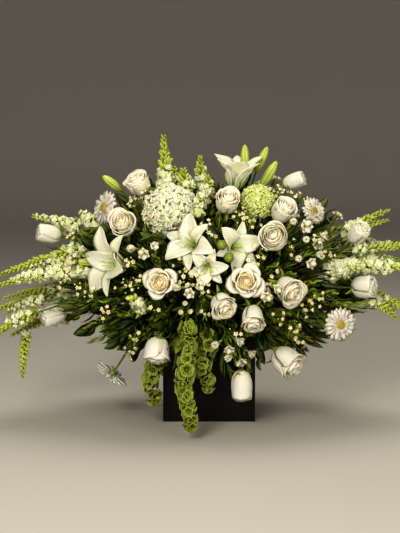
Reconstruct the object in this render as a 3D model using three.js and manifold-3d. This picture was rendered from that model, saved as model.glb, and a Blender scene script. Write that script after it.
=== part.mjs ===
// A large funeral spray of white roses, lilies, gerberas, hydrangeas, snapdragons and bells of
// Ireland, with its greenery, arranged on all sides in wet foam in a black cube vase.
// Millimetres, +Z up. The front is -Y, and the origin is the middle of the vase's underside.
import * as THREE from "three";
import { mergeVertices } from "three/addons/utils/BufferGeometryUtils.js";
import Module from "manifold-3d";

const wasm = await Module();
wasm.setup();

// Driving dimensions
const VASE_SIDE = 203;
const VASE_WALL = 4;
const GAP = 0.3; // between pieces that touch
const FOAM_SIDE = VASE_SIDE - 2 * VASE_WALL - 2 * GAP;
const FOAM_TOP = 235;
const HOLE_CIRCLE = 55; // radius of the ring of holes in the foam
const BUNCH_RADIUS = 10;
const BUNCH_DEPTH = 70;
const STEM_RADIUS = 2.4;
const TWIG_RADIUS = 1.8;
const STEM_SIDES = 3;
const LEAF_LENGTH = 84;
const LEAF_WIDTH = 0.48; // of its length
const LEAF_THICK = 1.6;
const LEAF_LEAN = THREE.MathUtils.degToRad(49); // from its stem
const LEAF_SPACE = 9; // least distance between two leaves
const LEAF_CLEAR = 4; // least distance from a leaf's points to a head
const LEAF_DRAWS = 60;
const STEM_CLEAR = 1.2; // least distance from a stem to a head that isn't its own
const OVER_FOAM = 9; // how far above the foam a drooping stem passes its edge
const BLOCK_CLEAR = 3; // least distance from a stem's middle line or a leaf to the vase and foam
const STEM_SPACE = 6; // least distance from a leaf to another stem
const STEM_POINTS = 8;
const PETAL_THICK = 1.8;

// Ways that a stem may bend, tried in this order: sideways and upwards
const STEM_BENDS = [
  [0, 0],
  [14, 0],
  [-14, 0],
  [0, 24],
  [28, 10],
  [-28, 10],
  [0, -30],
  [20, -30],
  [-20, -30],
  [46, 0],
  [-46, 0],
  [40, -40],
  [-40, -40],
  [0, -60],
  [60, -30],
  [-60, -30],
  [30, -80],
  [-30, -80],
];

// The spray's outer shape, which the greenery fills: half an ellipsoid above a flatter half
const DOME = { half_x: 375, half_y: 222, up: 272, down: 118, centre_z: 262 };

const COLOURS = {
  vase: { color: 0x0d0d0e, roughness: 0.35 },
  foam: { color: 0x2f5a33, roughness: 0.95 },
  leaf: { color: 0x2f4f1f, roughness: 0.55 },
  rose: { color: 0xf3ebd6, roughness: 0.6 },
  lily: { color: 0xf4f4e6, roughness: 0.5 },
  gerbera: { color: 0xf6f2e6, roughness: 0.6 },
  hydrangea: { color: 0xe9eee0, roughness: 0.65 },
  green_hydrangea: { color: 0xcfdc9a, roughness: 0.65 },
  spike: { color: 0xdfe6b8, roughness: 0.65 },
  bells: { color: 0x8fb043, roughness: 0.6 },
};

const radians = THREE.MathUtils.degToRad;
const lerp = THREE.MathUtils.lerp;
const UP = new THREE.Vector3(0, 0, 1);

// Azimuth 0 faces the front, 90 faces +X, and elevation is above the horizon, in degrees.
function facing(azimuth, elevation) {
  const a = radians(azimuth);
  const e = radians(elevation);
  return new THREE.Vector3(Math.sin(a) * Math.cos(e), -Math.cos(a) * Math.cos(e), Math.sin(e));
}

// Seeded random numbers from 0 to 1, so that every build is the same
function dice(seed) {
  let state = seed;
  return () => {
    state = (state + 0x6d2b79f5) | 0;
    let t = Math.imul(state ^ (state >>> 15), 1 | state);
    t = (t + Math.imul(t ^ (t >>> 7), 61 | t)) ^ t;
    return ((t ^ (t >>> 14)) >>> 0) / 4294967296;
  };
}

// Solids

function solidOf(geometry) {
  const flat = geometry.index ? geometry.toNonIndexed() : geometry;
  const merged = mergeVertices(
    new THREE.BufferGeometry().setAttribute("position", flat.getAttribute("position")),
    1e-4,
  );
  const triVerts = new Uint32Array(merged.index.array);
  const vertProperties = merged.attributes.position.array;
  const made = new wasm.Manifold(new wasm.Mesh({ numProp: 3, vertProperties, triVerts }));
  if (made.volume() > 0) return made;
  for (let i = 0; i < triVerts.length; i += 3) {
    [triVerts[i + 1], triVerts[i + 2]] = [triVerts[i + 2], triVerts[i + 1]];
  }
  return new wasm.Manifold(new wasm.Mesh({ numProp: 3, vertProperties, triVerts }));
}

const joined = (geometries) => wasm.Manifold.union(geometries.map(solidOf));

function largestBody(solid) {
  const bodies = solid.decompose();
  return bodies.reduce((best, b) => (b.volume() > best.volume() ? b : best), bodies[0]);
}

function geometryOf(solid) {
  const mesh = solid.getMesh();
  const points = new Float32Array(mesh.numVert * 3);
  for (let i = 0; i < mesh.numVert; i++) {
    points.set(mesh.vertProperties.subarray(i * mesh.numProp, i * mesh.numProp + 3), i * 3);
  }
  return new THREE.BufferGeometry()
    .setAttribute("position", new THREE.BufferAttribute(points, 3))
    .setIndex(new THREE.BufferAttribute(mesh.triVerts, 1));
}

// Plant forms, each closed and growing along +Z from the origin

// A surface of revolution through [radius, height] points
function turned(profile, sides) {
  const points = profile.map(([r, z]) => new THREE.Vector2(r, z));
  return new THREE.LatheGeometry(points, sides).rotateX(Math.PI / 2);
}

// A surface of revolution whose rings are not round: ring(row, column) gives each point's
// [radius, height, turn], where turn is a small angle that moves the point round the ring.
// Each four-sided patch is split along its shorter diagonal, so that the two faces of a petal are
// split alike.
function lobed(rows, columns, ring) {
  const profile = Array.from({ length: rows }, (_, row) => new THREE.Vector2(1, row));
  const shape = new THREE.LatheGeometry(profile, columns);
  const position = shape.attributes.position;
  for (let i = 0; i < position.count; i++) {
    const column = Math.floor(i / rows) % columns;
    const [radius, height, turn = 0] = ring(i % rows, column);
    const angle = (2 * Math.PI * column) / columns + turn;
    position.setXYZ(i, radius * Math.sin(angle), height, radius * Math.cos(angle));
  }
  const index = shape.index.array;
  const corner = (i) => new THREE.Vector3().fromBufferAttribute(position, i);
  for (let i = 0; i < index.length; i += 6) {
    const [a, b, d, c] = index.subarray(i, i + 4);
    const isShorter = corner(a).distanceTo(corner(c)) < corner(b).distanceTo(corner(d)) - 0.01;
    if (isShorter) index.set([a, b, c, c, d, a], i);
  }
  return shape.rotateX(Math.PI / 2);
}

// A middle line that starts at one angle from Z and curls to another: [out, along, angle]
function curled(length, from, to) {
  return (t) => {
    const steps = 12;
    let out = 0;
    let along = 0;
    for (let k = 0; k < steps; k++) {
      const angle = lerp(from, to, ((k + 0.5) / steps) * t);
      out += (Math.sin(angle) * length * t) / steps;
      along += (Math.cos(angle) * length * t) / steps;
    }
    return [out, along, lerp(from, to, t)];
  };
}

// A leaf with a raised rib, flat beneath and folded a little along its middle line
function blade({ length, width, thick, widest, curl }) {
  const rows = 3;
  const middle = curled(length, -curl / 3, curl);
  const shape = new THREE.SphereGeometry(1, 3, rows);
  const position = shape.attributes.position;
  for (let i = 0; i < position.count; i++) {
    const row = Math.floor(i / 4);
    const t = row / rows;
    const turn = ((i % 4) * 2 * Math.PI) / 3 + Math.PI / 6;
    const swell = Math.sin(Math.PI * t ** (Math.log(0.5) / Math.log(widest))) ** 0.7;
    const across = Math.cos(turn) * swell * 0.58 * width;
    const through = row % rows === 0 ? 0 : Math.sin(turn) * thick;
    const [out, along, tilt] = middle(t);
    position.setXYZ(i, across, -out + through * Math.cos(tilt), along + through * Math.sin(tilt));
  }
  return shape;
}

// A stamen, twig or bud: three-sided and pointed at both ends
function spindle(length, width, widest) {
  const shape = new THREE.SphereGeometry(1, 3, 2);
  const position = shape.attributes.position;
  for (let i = 0; i < position.count; i++) {
    const row = Math.floor(i / 4);
    const turn = ((i % 4) * 2 * Math.PI) / 3;
    const r = row === 1 ? width / 2 : 0;
    const height = [length, widest * length, 0][row];
    position.setXYZ(i, r * Math.cos(turn), r * Math.sin(turn), height);
  }
  return shape;
}

// A small flat flower: petals round a middle, with a root that sinks into what carries it
function floret(radius, petals, root) {
  const sides = petals * 2;
  const shape = new THREE.SphereGeometry(1, sides, 2);
  const position = shape.attributes.position;
  for (let i = 0; i < position.count; i++) {
    const row = Math.floor(i / (sides + 1));
    const column = (i % (sides + 1)) % sides;
    const turn = (column * Math.PI) / petals;
    const reach = column % 2 === 0 ? radius : radius * 0.5;
    const r = row === 1 ? reach : 0;
    const height = [0.1 * radius, 0.16 * radius, -root][row];
    position.setXYZ(i, r * Math.cos(turn), r * Math.sin(turn), height);
  }
  return shape;
}

// Turns a form that grows along +Z so that it grows along direction from a point
function aimed(geometry, point, direction, roll = 0) {
  const turn = new THREE.Quaternion().setFromUnitVectors(UP, direction);
  return geometry
    .rotateZ(roll)
    .applyQuaternion(turn)
    .translate(point.x, point.y, point.z);
}

// Flower heads. Each returns the forms that make its solid, and the profile of the round space
// that it needs. A head sits with the flat of its base at z = GAP.

// A rose is one surface: nested cups of petals, whose rims rise and fall with each petal.
function rose({ width, height, open }) {
  const R = width / 2;
  const between = (closed, opened) => lerp(closed, opened, open);
  const cups = [
    [0, GAP, 0],
    [0.26 * R, GAP, 0],
    [between(0.9, 0.76) * R, 0.3 * height, 0],
    [between(1, 0.95) * R, 0.56 * height, 0],
    [between(0.84, 1.02) * R, between(0.86, 0.72) * height, 1],
    [between(0.64, 0.7) * R, between(0.7, 0.46) * height, 0],
    [between(0.56, 0.66) * R, between(0.95, 0.9) * height, -1],
    [between(0.34, 0.38) * R, between(0.78, 0.6) * height, 0],
    [between(0.25, 0.3) * R, 0.98 * height, 1],
    [0, between(0.86, 0.76) * height, 0],
  ];
  const shape = lobed(cups.length, 8, (row, column) => {
    const [r, z, rim] = cups[row];
    const petal = column % 2 === 0 ? rim : -rim;
    return [r * (1 + 0.06 * petal), z - 0.05 * height * petal];
  });
  const H = height;
  const sides = [[1.12 * R, 0.3 * H], [1.16 * R, 0.8 * H]];
  const needs = [[0, 0], [0.4 * R, 0], ...sides, [0.8 * R, 1.06 * H], [0, 1.06 * H]];
  return { forms: [shape], needs };
}

// A lily has three wide and three narrow tepals, which curl back from a throat with stamens.
function lily({ length, flare }) {
  const spine = curled(length, radians(12), radians(flare));
  const columns = 24; // four to a tepal: its tip, a shoulder, the notch and the other shoulder
  const reach = [1, 0.74, 0.24, 0.74];
  const rows = [
    { share: 0, outer: true },
    { share: 0.56, outer: true },
    { share: 1, outer: true },
    { share: 0.56, outer: false },
    { share: 0.2, outer: false },
  ];
  const shape = lobed(rows.length + 2, columns, (row, column) => {
    if (row === 0) return [0, GAP];
    if (row > rows.length) return [0, 8];
    if (row === 1) return [4, GAP];
    const { share, outer } = rows[row - 1];
    const role = column % 4;
    const narrow = Math.floor((column + 2) / 4) % 2;
    const [out, along, angle] = spine(share * reach[role] * (narrow ? 0.96 : 1));
    const skin = outer ? 0 : PETAL_THICK;
    const hug = narrow && role % 2 ? radians(5.5) * (role === 1 ? -1 : 1) : 0;
    const sag = role === 0 && share < 1 ? -2.5 : 0;
    return [4 + out - skin * Math.cos(angle), GAP + 1 + along + skin * Math.sin(angle) + sag, hug];
  });
  const forms = [shape];
  for (let k = 0; k < 3; k++) {
    const stamen = spindle(0.55 * length, 4, 0.85).rotateX(radians(k ? 17 : 0));
    forms.push(stamen.rotateZ(k * 2.6).translate(0, 0, 4));
  }
  const steps = [0.3, 0.6, 1].map((t) => spine(t));
  const needs = [[0, 0], [6, 0], ...steps.map(([out, along]) => [out + 6, along + 1])];
  needs.push([0, needs.at(-1)[1] + 3]);
  return { forms, needs };
}

// A gerbera is one surface: two rows of rays round a domed disc.
function gerbera({ width }) {
  const R = width / 2;
  const tips = [
    [0, GAP],
    [0.2 * R, GAP],
    [R, 5],
    [0.46 * R, 4.6],
    [0.62 * R, 7.4],
    [0.26 * R, 8],
    [0, 7],
  ];
  const notches = [tips[0], tips[1], [0.62 * R, 3.6], [0.46 * R, 4.8], [0.42 * R, 6.6], tips[5], tips[6]];
  const shape = lobed(tips.length, 20, (row, column) => (column % 2 ? notches : tips)[row]);
  const needs = [[0, 0], [8, 0], [1.04 * R, 2], [1.06 * R, 10], [0.5 * R, 18], [0, 18]];
  return { forms: [shape], needs };
}

// A hydrangea is one surface: a ball of close florets, which stand out in turn.
function hydrangea({ width, florets }) {
  const R = width / 2;
  const rows = Math.round(0.62 * florets);
  const shape = lobed(rows + 3, florets, (row, column) => {
    if (row === 0) return [0, GAP];
    if (row === 1) return [4.5, GAP];
    if (row === rows + 2) return [0, 1.86 * R];
    const t = (row - 1) / (rows + 1);
    const out = (row + column) % 2 === 0;
    const angle = lerp(radians(152), radians(8), t);
    const radius = out ? R : 0.83 * R;
    return [radius * Math.sin(angle), 0.96 * R + radius * Math.cos(angle)];
  });
  const ball = [[0.6, 0.12], [1.04, 0.6], [1.04, 1.4], [0.5, 2], [0, 2]].map(([r, z]) => [r * R, z * R]);
  const needs = [[0, 0], [7, 0], ...ball];
  return { forms: [shape], needs };
}

// A snapdragon or stock is one surface: whorls of florets up a slim core, then buds to the tip.
function spike({ length, width, whorls, round = 6, blunt = false }) {
  const R = width / 2;
  const pitch = length / (whorls + 0.6);
  const shape = lobed(2 * whorls + 3, round, (row, column) => {
    if (row === 0) return [0, GAP];
    if (row === 1) return [2.4, GAP];
    if (row === 2 * whorls + 2) return [0, length];
    const whorl = Math.floor(row / 2) - 1;
    const t = whorl / (whorls - 1);
    const taper = blunt ? lerp(1, 0.62, t ** 2) : lerp(1, 0.2, t ** 0.9);
    const out = (column + whorl) % 2 === 0;
    const foot = whorl * pitch + 3;
    if (row % 2) return [Math.max(0.42 * R * taper, 1.4), foot + pitch];
    return out ? [R * taper, foot + 0.66 * pitch] : [0.62 * R * taper, foot + 0.36 * pitch];
  });
  const end = blunt ? 0.95 * R : 0.4 * R;
  const needs = [[0, 0], [0.5 * R, 0], [1.05 * R, 0.1 * length], [end, length], [0, length + 3]];
  return { forms: [shape], needs };
}

// Bells of Ireland are one surface: whorls of four open-mouthed cups up a stem.
function bells({ length, width, whorls }) {
  const R = width / 2;
  const pitch = length / (whorls + 0.25);
  const shape = lobed(4 * whorls + 3, 8, (row, column) => {
    if (row === 0) return [0, GAP];
    if (row === 1) return [2.3, GAP];
    if (row === 4 * whorls + 2) return [0, length];
    const whorl = Math.floor((row - 2) / 4);
    const foot = whorl * pitch + 3;
    const size = R * lerp(1, 0.5, whorl / whorls);
    const cup = (column + whorl) % 2 === 0;
    const lowLip = cup ? [size, foot + 0.34 * pitch] : [0.42 * size, foot + 0.3 * pitch];
    const mouth = cup ? [0.4 * size, foot + 0.5 * pitch] : [0.34 * size, foot + 0.5 * pitch];
    const highLip = cup ? [0.86 * size, foot + 0.84 * pitch] : [0.36 * size, foot + 0.72 * pitch];
    const neck = [3, foot + 0.96 * pitch];
    return [lowLip, mouth, highLip, neck][(row - 2) % 4];
  });
  const needs = [[0, 0], [0.5 * R, 0], [1.04 * R, 0.08 * length], [0.75 * R, length], [0, length + 3]];
  return { forms: [shape], needs };
}

const FORMS = { rose, lily, gerbera, hydrangea, green_hydrangea: hydrangea, spike, bells };

// The heads of each kind, with their places, the ways they face and their sizes. at is the middle
// of a rose, gerbera or hydrangea, and the base of the others. Those on the front and top follow the
// photograph, and the rest finish the back.
const HEADS = {
  rose: {
    rose_crown_left: { at: [-155, -55, 522], face: [-40, 50], width: 62, height: 54, open: 0.5 },
    rose_shoulder_left: { at: [-184, -138, 442], face: [-14, 22], width: 64, height: 56, open: 0.5 },
    rose_far_left_upper: { at: [-358, -25, 410], face: [-80, 12], width: 45, height: 58, open: 0.1 },
    rose_far_left_lower: { at: [-346, -64, 232], face: [-75, -22], width: 45, height: 60, open: 0 },
    rose_open_left: { at: [-102, -222, 324], face: [-12, 8], width: 70, height: 50, open: 1 },
    rose_skirt_left: { at: [-111, -202, 176], face: [-12, -74], width: 60, height: 58, open: 0.45 },
    rose_crown_centre: { at: [40, -138, 488], face: [5, 42], width: 56, height: 56, open: 0.35 },
    rose_open_centre: { at: [76, -232, 327], face: [0, 10], width: 74, height: 50, open: 1 },
    rose_centre_low: { at: [28, -240, 279], face: [28, -26], width: 57, height: 54, open: 0.7 },
    rose_skirt_centre: { at: [90, -228, 248], face: [6, -48], width: 55, height: 58, open: 0.6 },
    rose_hanging: { at: [70, -188, 98], face: [8, -84], width: 50, height: 68, open: 0 },
    rose_low_right: { at: [166, -168, 147], face: [52, -32], width: 66, height: 70, open: 0.5 },
    rose_right_upper: { at: [158, -122, 468], face: [36, 40], width: 56, height: 54, open: 0.35 },
    rose_right_middle: { at: [137, -184, 415], face: [-2, 8], width: 64, height: 56, open: 0.55 },
    rose_right_open: { at: [168, -214, 308], face: [34, -18], width: 68, height: 60, open: 0.6 },
    rose_crown_right: { at: [190, -20, 528], face: [80, 22], width: 38, height: 52, open: 0.1 },
    rose_far_right_upper: { at: [332, -40, 411], face: [40, 42], width: 46, height: 56, open: 0.2 },
    rose_far_right_lower: { at: [340, -92, 300], face: [64, 8], width: 54, height: 56, open: 0.3 },
    rose_back_left: { at: [-185, 150, 425], face: [-145, 28], width: 64, height: 56, open: 0.6 },
    rose_back_centre: { at: [35, 212, 340], face: [174, 8], width: 70, height: 50, open: 1 },
    rose_back_right: { at: [190, 150, 420], face: [146, 28], width: 60, height: 56, open: 0.4 },
  },
  gerbera: {
    gerbera_left: { at: [-230, -82, 473], face: [-52, 16], width: 82 },
    gerbera_right: { at: [228, -96, 466], face: [36, 18], width: 66 },
    gerbera_low_right: { at: [281, -162, 226], face: [20, -4], width: 80 },
    gerbera_low_left: { at: [-216, -78, 102], face: [-76, -58], width: 90 },
    gerbera_back: { at: [150, 172, 300], face: [146, -4], width: 82 },
  },
  lily: {
    lily_left: { at: [-178, -150, 354], face: [-52, 6], length: 100, flare: 74 },
    lily_centre_left: { at: [-28, -174, 394], face: [-30, 24], length: 80, flare: 84 },
    lily_centre_front: { at: [-4, -196, 358], face: [0, -8], length: 58, flare: 84 },
    lily_centre_right: { at: [46, -160, 392], face: [26, 8], length: 74, flare: 84 },
    lily_crown: { at: [60, -46, 506], face: [8, 80], length: 98, flare: 46 },
    lily_back: { at: [-20, 138, 410], face: [184, 30], length: 92, flare: 80 },
  },
  hydrangea: {
    hydrangea_left: { at: [-84, -112, 466], face: [-14, 42], width: 118, florets: 14 },
    hydrangea_back: { at: [-95, 118, 455], face: [-165, 38], width: 110, florets: 12 },
  },
  green_hydrangea: {
    hydrangea_right: { at: [104, -98, 486], face: [15, 55], width: 74, florets: 12 },
  },
  spike: {
    stock_left: { at: [-140, -190, 262], face: [-34, 34], length: 60, width: 44, whorls: 4, blunt: true },
    stock_right: { at: [258, -106, 332], face: [52, 18], length: 84, width: 62, whorls: 5, blunt: true },
    snapdragon_crown: { at: [-96, -40, 512], face: [-20, 84], length: 122, width: 42, whorls: 9 },
    snapdragon_left_1: { at: [-292, -10, 424], face: [-88, 14], length: 110, width: 32, whorls: 7 },
    snapdragon_left_2: { at: [-282, -42, 378], face: [-88, -18], length: 210, width: 34, whorls: 8 },
    snapdragon_left_3: { at: [-262, -100, 336], face: [-84, -10], length: 222, width: 38, whorls: 8 },
    snapdragon_left_4: { at: [-266, -20, 296], face: [-89, -15], length: 226, width: 38, whorls: 8 },
    snapdragon_left_5: { at: [-318, -100, 262], face: [-84, -26], length: 190, width: 38, whorls: 8 },
    snapdragon_right_1: { at: [300, 8, 404], face: [92, 28], length: 126, width: 32, whorls: 7 },
    snapdragon_right_2: { at: [318, 12, 372], face: [92, 4], length: 160, width: 36, whorls: 8 },
    snapdragon_right_3: { at: [304, -50, 340], face: [87, -2], length: 190, width: 38, whorls: 8 },
    snapdragon_right_4: { at: [334, -10, 286], face: [84, -22], length: 150, width: 38, whorls: 7 },
  },
  bells: {
    bells_front: { at: [-50, -212, 238], face: [5, -73], length: 236, width: 54, whorls: 6 },
    bells_left: { at: [-120, -150, 158], face: [-8, -82], length: 112, width: 42, whorls: 4 },
    bells_middle: { at: [-8, -180, 214], face: [4, -84], length: 140, width: 46, whorls: 4 },
  },
};

// Lily buds, part of the greenery: base, way they point, length and width
const BUDS = [
  { at: [-196, -34, 508], face: [-66, 38], length: 54, width: 20 },
  { at: [-238, -104, 352], face: [-84, 4], length: 62, width: 18 },
  { at: [80, -14, 552], face: [0, 86], length: 58, width: 20 },
  { at: [106, -6, 548], face: [88, 66], length: 62, width: 20 },
  { at: [116, -24, 514], face: [70, 58], length: 70, width: 22 },
  { at: [-410, -28, 192], face: [-95, -84], length: 112, width: 20 },
];

// Small alstroemeria flowers, part of the greenery: middle and the way they face
const FILLERS = [
  { at: [-136, -206, 384], face: [-12, 10] },
  { at: [-40, -240, 306], face: [-14, 4] },
  { at: [40, -236, 190], face: [8, -24] },
  { at: [66, -214, 160], face: [14, -30] },
  { at: [204, -140, 436], face: [22, 16] },
  { at: [226, -150, 400], face: [34, 8] },
  { at: [212, -176, 362], face: [24, 4] },
  { at: [118, -236, 300], face: [-4, -6] },
];

// The sides of the spray, as ranges of azimuth. Each side's stems stand in one hole in the foam
// and carry its leaves, so each side's greenery is one piece.
const SIDES = {
  front: { from: -19.7, to: 30.5, sprigs: 4 },
  front_right: { from: 30.5, to: 65.8, sprigs: 3 },
  right: { from: 65.8, to: 109, sprigs: 4 },
  back_right: { from: 109, to: 154, sprigs: 3 },
  back: { from: 154, to: 208, sprigs: 4 },
  back_left: { from: 208, to: 252, sprigs: 4 },
  left: { from: 252, to: 297.5, sprigs: 4 },
  front_left: { from: 297.5, to: 340.3, sprigs: 4 },
};
const SPRIG_LEAVES = 5;

// Sides

const azimuthOf = (point) => THREE.MathUtils.radToDeg(Math.atan2(point.x, -point.y));
const isWithin = (azimuth, { from, to }) => (((azimuth - from) % 360) + 360) % 360 < to - from;
const sideAt = (point) => Object.keys(SIDES).find((name) => isWithin(azimuthOf(point), SIDES[name]));

const footOf = ({ from, to }) => facing((from + to) / 2, 0).multiplyScalar(HOLE_CIRCLE);

// The flat sides of one side's space, which keep it a little short of its neighbours
function limitsOf({ from, to }) {
  return [facing(from + 90, 0), facing(to - 90, 0)];
}
const insideBy = (point, side) => Math.min(...limitsOf(side).map((n) => n.x * point.x + n.y * point.y));

function sideSpace(side) {
  const { from, to } = side;
  const inset = GAP / 2 / Math.sin(radians((to - from) / 2));
  const tip = facing((from + to) / 2, 0).multiplyScalar(inset);
  const reach = 1000;
  const far = [from, to].map((azimuth) => facing(azimuth, 0).multiplyScalar(reach).add(tip));
  const corners = [tip, ...far];
  const plan = new THREE.Shape(corners.map(({ x, y }) => new THREE.Vector2(x, y)));
  return new THREE.ExtrudeGeometry(plan, { depth: 900, bevelEnabled: false }).translate(0, 0, -20);
}

// Heads with their places

function baseOf(kind, { at, face, width, height }) {
  const ball = 0.48 * width;
  const half = { rose: height / 2, gerbera: 4, hydrangea: ball, green_hydrangea: ball }[kind] ?? 0;
  return new THREE.Vector3(...at).addScaledVector(facing(...face), -half);
}

const heads = Object.entries(HEADS).flatMap(([kind, list]) =>
  Object.entries(list).map(([name, head]) => {
    const base = baseOf(kind, head);
    return { name, kind, base, direction: facing(...head.face), side: sideAt(base), ...FORMS[kind](head) };
  }),
);

// True where a point comes within a margin of the space that a head needs
function meets({ base, direction, needs }, point, margin) {
  const local = point.clone().sub(base);
  const height = local.dot(direction);
  const radius = Math.sqrt(Math.max(local.lengthSq() - height * height, 0));
  return needs.slice(1).some(([r1, z1], i) => {
    const [r0, z0] = needs[i];
    if (height < z0 - margin || height > z1 + margin) return false;
    const t = z1 > z0 ? THREE.MathUtils.clamp((height - z0) / (z1 - z0), 0, 1) : 1;
    return radius < lerp(r0, r1, t) + margin;
  });
}
const isClear = (point, margin, own) => !heads.some((h) => h !== own && meets(h, point, margin));

const nearBlock = (p, half, top) => Math.abs(p.x) < half && Math.abs(p.y) < half && p.z < top;
const nearVase = (p) =>
  nearBlock(p, VASE_SIDE / 2 + BLOCK_CLEAR, VASE_SIDE + BLOCK_CLEAR) ||
  nearBlock(p, FOAM_SIDE / 2 + BLOCK_CLEAR, FOAM_TOP + BLOCK_CLEAR);

// Stems

// A stem leaves the middle of its side above the foam, clears the foam's edge if it leaves low,
// bends round the heads in its way, and meets its own head straight on.
function stemCurve(focus, base, direction, side, own) {
  const last = base.clone().addScaledVector(direction, -24);
  const reach = Math.hypot(base.x, base.y);
  const across = Math.max(Math.abs(base.x), Math.abs(base.y)) / reach;
  const edge = VASE_SIDE / 2 / across + 12;
  const overEdge = lerp(focus.z, last.z, (edge - HOLE_CIRCLE) / (reach - HOLE_CIRCLE));
  const isLow = reach > edge && overEdge < FOAM_TOP + OVER_FOAM;
  const sideways = new THREE.Vector3().crossVectors(UP, direction.clone().setZ(0)).normalize();
  if (sideways.lengthSq() < 0.5) sideways.set(1, 0, 0);
  let stem;
  for (const bend of STEM_BENDS) {
    const middle = isLow
      ? base.clone().multiplyScalar(edge / reach).setZ(FOAM_TOP + OVER_FOAM)
      : focus.clone().lerp(last, 0.5);
    middle.addScaledVector(sideways, bend[0]);
    middle.z += bend[1];
    const corners = [focus, middle, last, base];
    stem = stemOn(new THREE.CatmullRomCurve3(corners, false, "centripetal"), isLow);
    const isInside = stem.points.every((p) => insideBy(p, side) > STEM_RADIUS + GAP);
    const way = stem.points.slice(2, own ? -1 : undefined);
    if (isInside && way.every((p) => !nearVase(p) && isClear(p, STEM_RADIUS + STEM_CLEAR, own))) break;
  }
  return stem;
}

// A stem's curve, with the points of the straight lengths that it is made of
function stemOn(curve, isLow) {
  const steps = isLow ? 5 : 3;
  const corners = curve.getSpacedPoints(steps);
  const points = corners.slice(1).flatMap((end, i) => {
    const start = corners[i];
    return Array.from({ length: STEM_POINTS }, (_, k) => start.clone().lerp(end, k / STEM_POINTS));
  });
  points.push(corners.at(-1));
  return { curve, steps, points, frames: curve.computeFrenetFrames(steps) };
}

function tube({ curve, steps }, radius) {
  const section = new THREE.Shape();
  for (let k = 0; k < STEM_SIDES; k++) {
    const turn = (2 * Math.PI * k) / STEM_SIDES;
    section[k ? "lineTo" : "moveTo"](radius * Math.cos(turn), radius * Math.sin(turn));
  }
  return new THREE.ExtrudeGeometry(section, { steps, extrudePath: curve, bevelEnabled: false });
}

// A point of the spray's outer shape, in a direction from its centre
function onDome(direction, share) {
  const half_z = direction.z > 0 ? DOME.up : DOME.down;
  const scale = Math.hypot(direction.x / DOME.half_x, direction.y / DOME.half_y, direction.z / half_z);
  const point = direction.clone().multiplyScalar(share / scale);
  return point.setZ(point.z + DOME.centre_z);
}

// Leaves

// A leaf on one of the flat faces of a stem, at t along it, that leans away from it
function leafOn({ curve, steps, frames }, t, face, size, lean) {
  const root = curve.getPointAt(t);
  const z = curve.getTangentAt(t);
  const angle = ((2 * face + 1) * Math.PI) / STEM_SIDES;
  const step = Math.floor(Math.min(t * steps, steps - 1));
  const away = new THREE.Vector3();
  for (const [index, share] of [[step, step + 1 - t * steps], [step + 1, t * steps - step]]) {
    away.addScaledVector(frames.normals[index], share * Math.cos(angle));
    away.addScaledVector(frames.binormals[index], share * Math.sin(angle));
  }
  away.addScaledVector(z, -away.dot(z)).normalize();
  const y = z.clone().multiplyScalar(Math.sin(lean)).addScaledVector(away, -Math.cos(lean));
  z.multiplyScalar(Math.cos(lean)).addScaledVector(away, Math.sin(lean));
  const x = new THREE.Vector3().crossVectors(y, z);
  const shape = { length: size, width: LEAF_WIDTH * size, thick: LEAF_THICK, widest: 0.45 };
  const leaf = blade({ ...shape, curl: radians(26) });
  return leaf.applyMatrix4(new THREE.Matrix4().makeBasis(x, y, z).setPosition(root));
}

// The corners of a form, and the middles of its edges and of its triangles
const pointsOf = (geometry) => {
  const position = geometry.attributes.position;
  const cornerAt = (i) => new THREE.Vector3().fromBufferAttribute(position, i);
  const corners = Array.from({ length: position.count }, (_, i) => cornerAt(i));
  const points = [...corners];
  const index = geometry.index.array;
  for (let i = 0; i < index.length; i += 3) {
    const [a, b, c] = [corners[index[i]], corners[index[i + 1]], corners[index[i + 2]]];
    points.push(a.clone().lerp(b, 0.5), b.clone().lerp(c, 0.5), c.clone().lerp(a, 0.5));
    points.push(a.clone().add(b).add(c).divideScalar(3));
  }
  return points;
};

// Draws leaves until one is clear of every head, of the vase, of the other sides and of the
// leaves already there
function clearLeaf(stem, range, side, others, stems, random) {
  for (let attempt = 0; attempt < LEAF_DRAWS; attempt++) {
    const t = lerp(...range, random());
    const face = Math.floor(random() * STEM_SIDES);
    const size = LEAF_LENGTH * lerp(0.85, 1.15, random());
    const leaf = leafOn(stem, t, face, size, LEAF_LEAN);
    const points = pointsOf(leaf);
    const isFree = points.every(
      (p) => insideBy(p, side) > 1 && !nearVase(p) && isClear(p, LEAF_CLEAR) && p.z > 40,
    );
    if (!isFree) continue;
    const outer = points.filter((p) => p.distanceTo(stem.curve.getPointAt(t)) > 0.35 * size);
    if (outer.some((p) => others.some((q) => p.distanceToSquared(q) < LEAF_SPACE ** 2))) continue;
    if (outer.some((p) => stems.some((q) => p.distanceToSquared(q) < STEM_SPACE ** 2))) continue;
    others.push(...outer.filter((_, i) => i % 3 === 0));
    return [leaf];
  }
  return [];
}

// Where a stem leaves its bunch: towards the side and the height that it goes to
function startOf(foot, base) {
  const way = base.clone().sub(foot);
  const sideways = new THREE.Vector3().crossVectors(UP, foot).normalize();
  const across = THREE.MathUtils.clamp(way.dot(sideways) / 10, -7.5, 7.5);
  const rise = THREE.MathUtils.clamp((base.z - FOAM_TOP) / 18, -2, 13);
  return foot.clone().addScaledVector(sideways, across).setZ(FOAM_TOP + 6 + rise);
}

// One side's greenery

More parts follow.
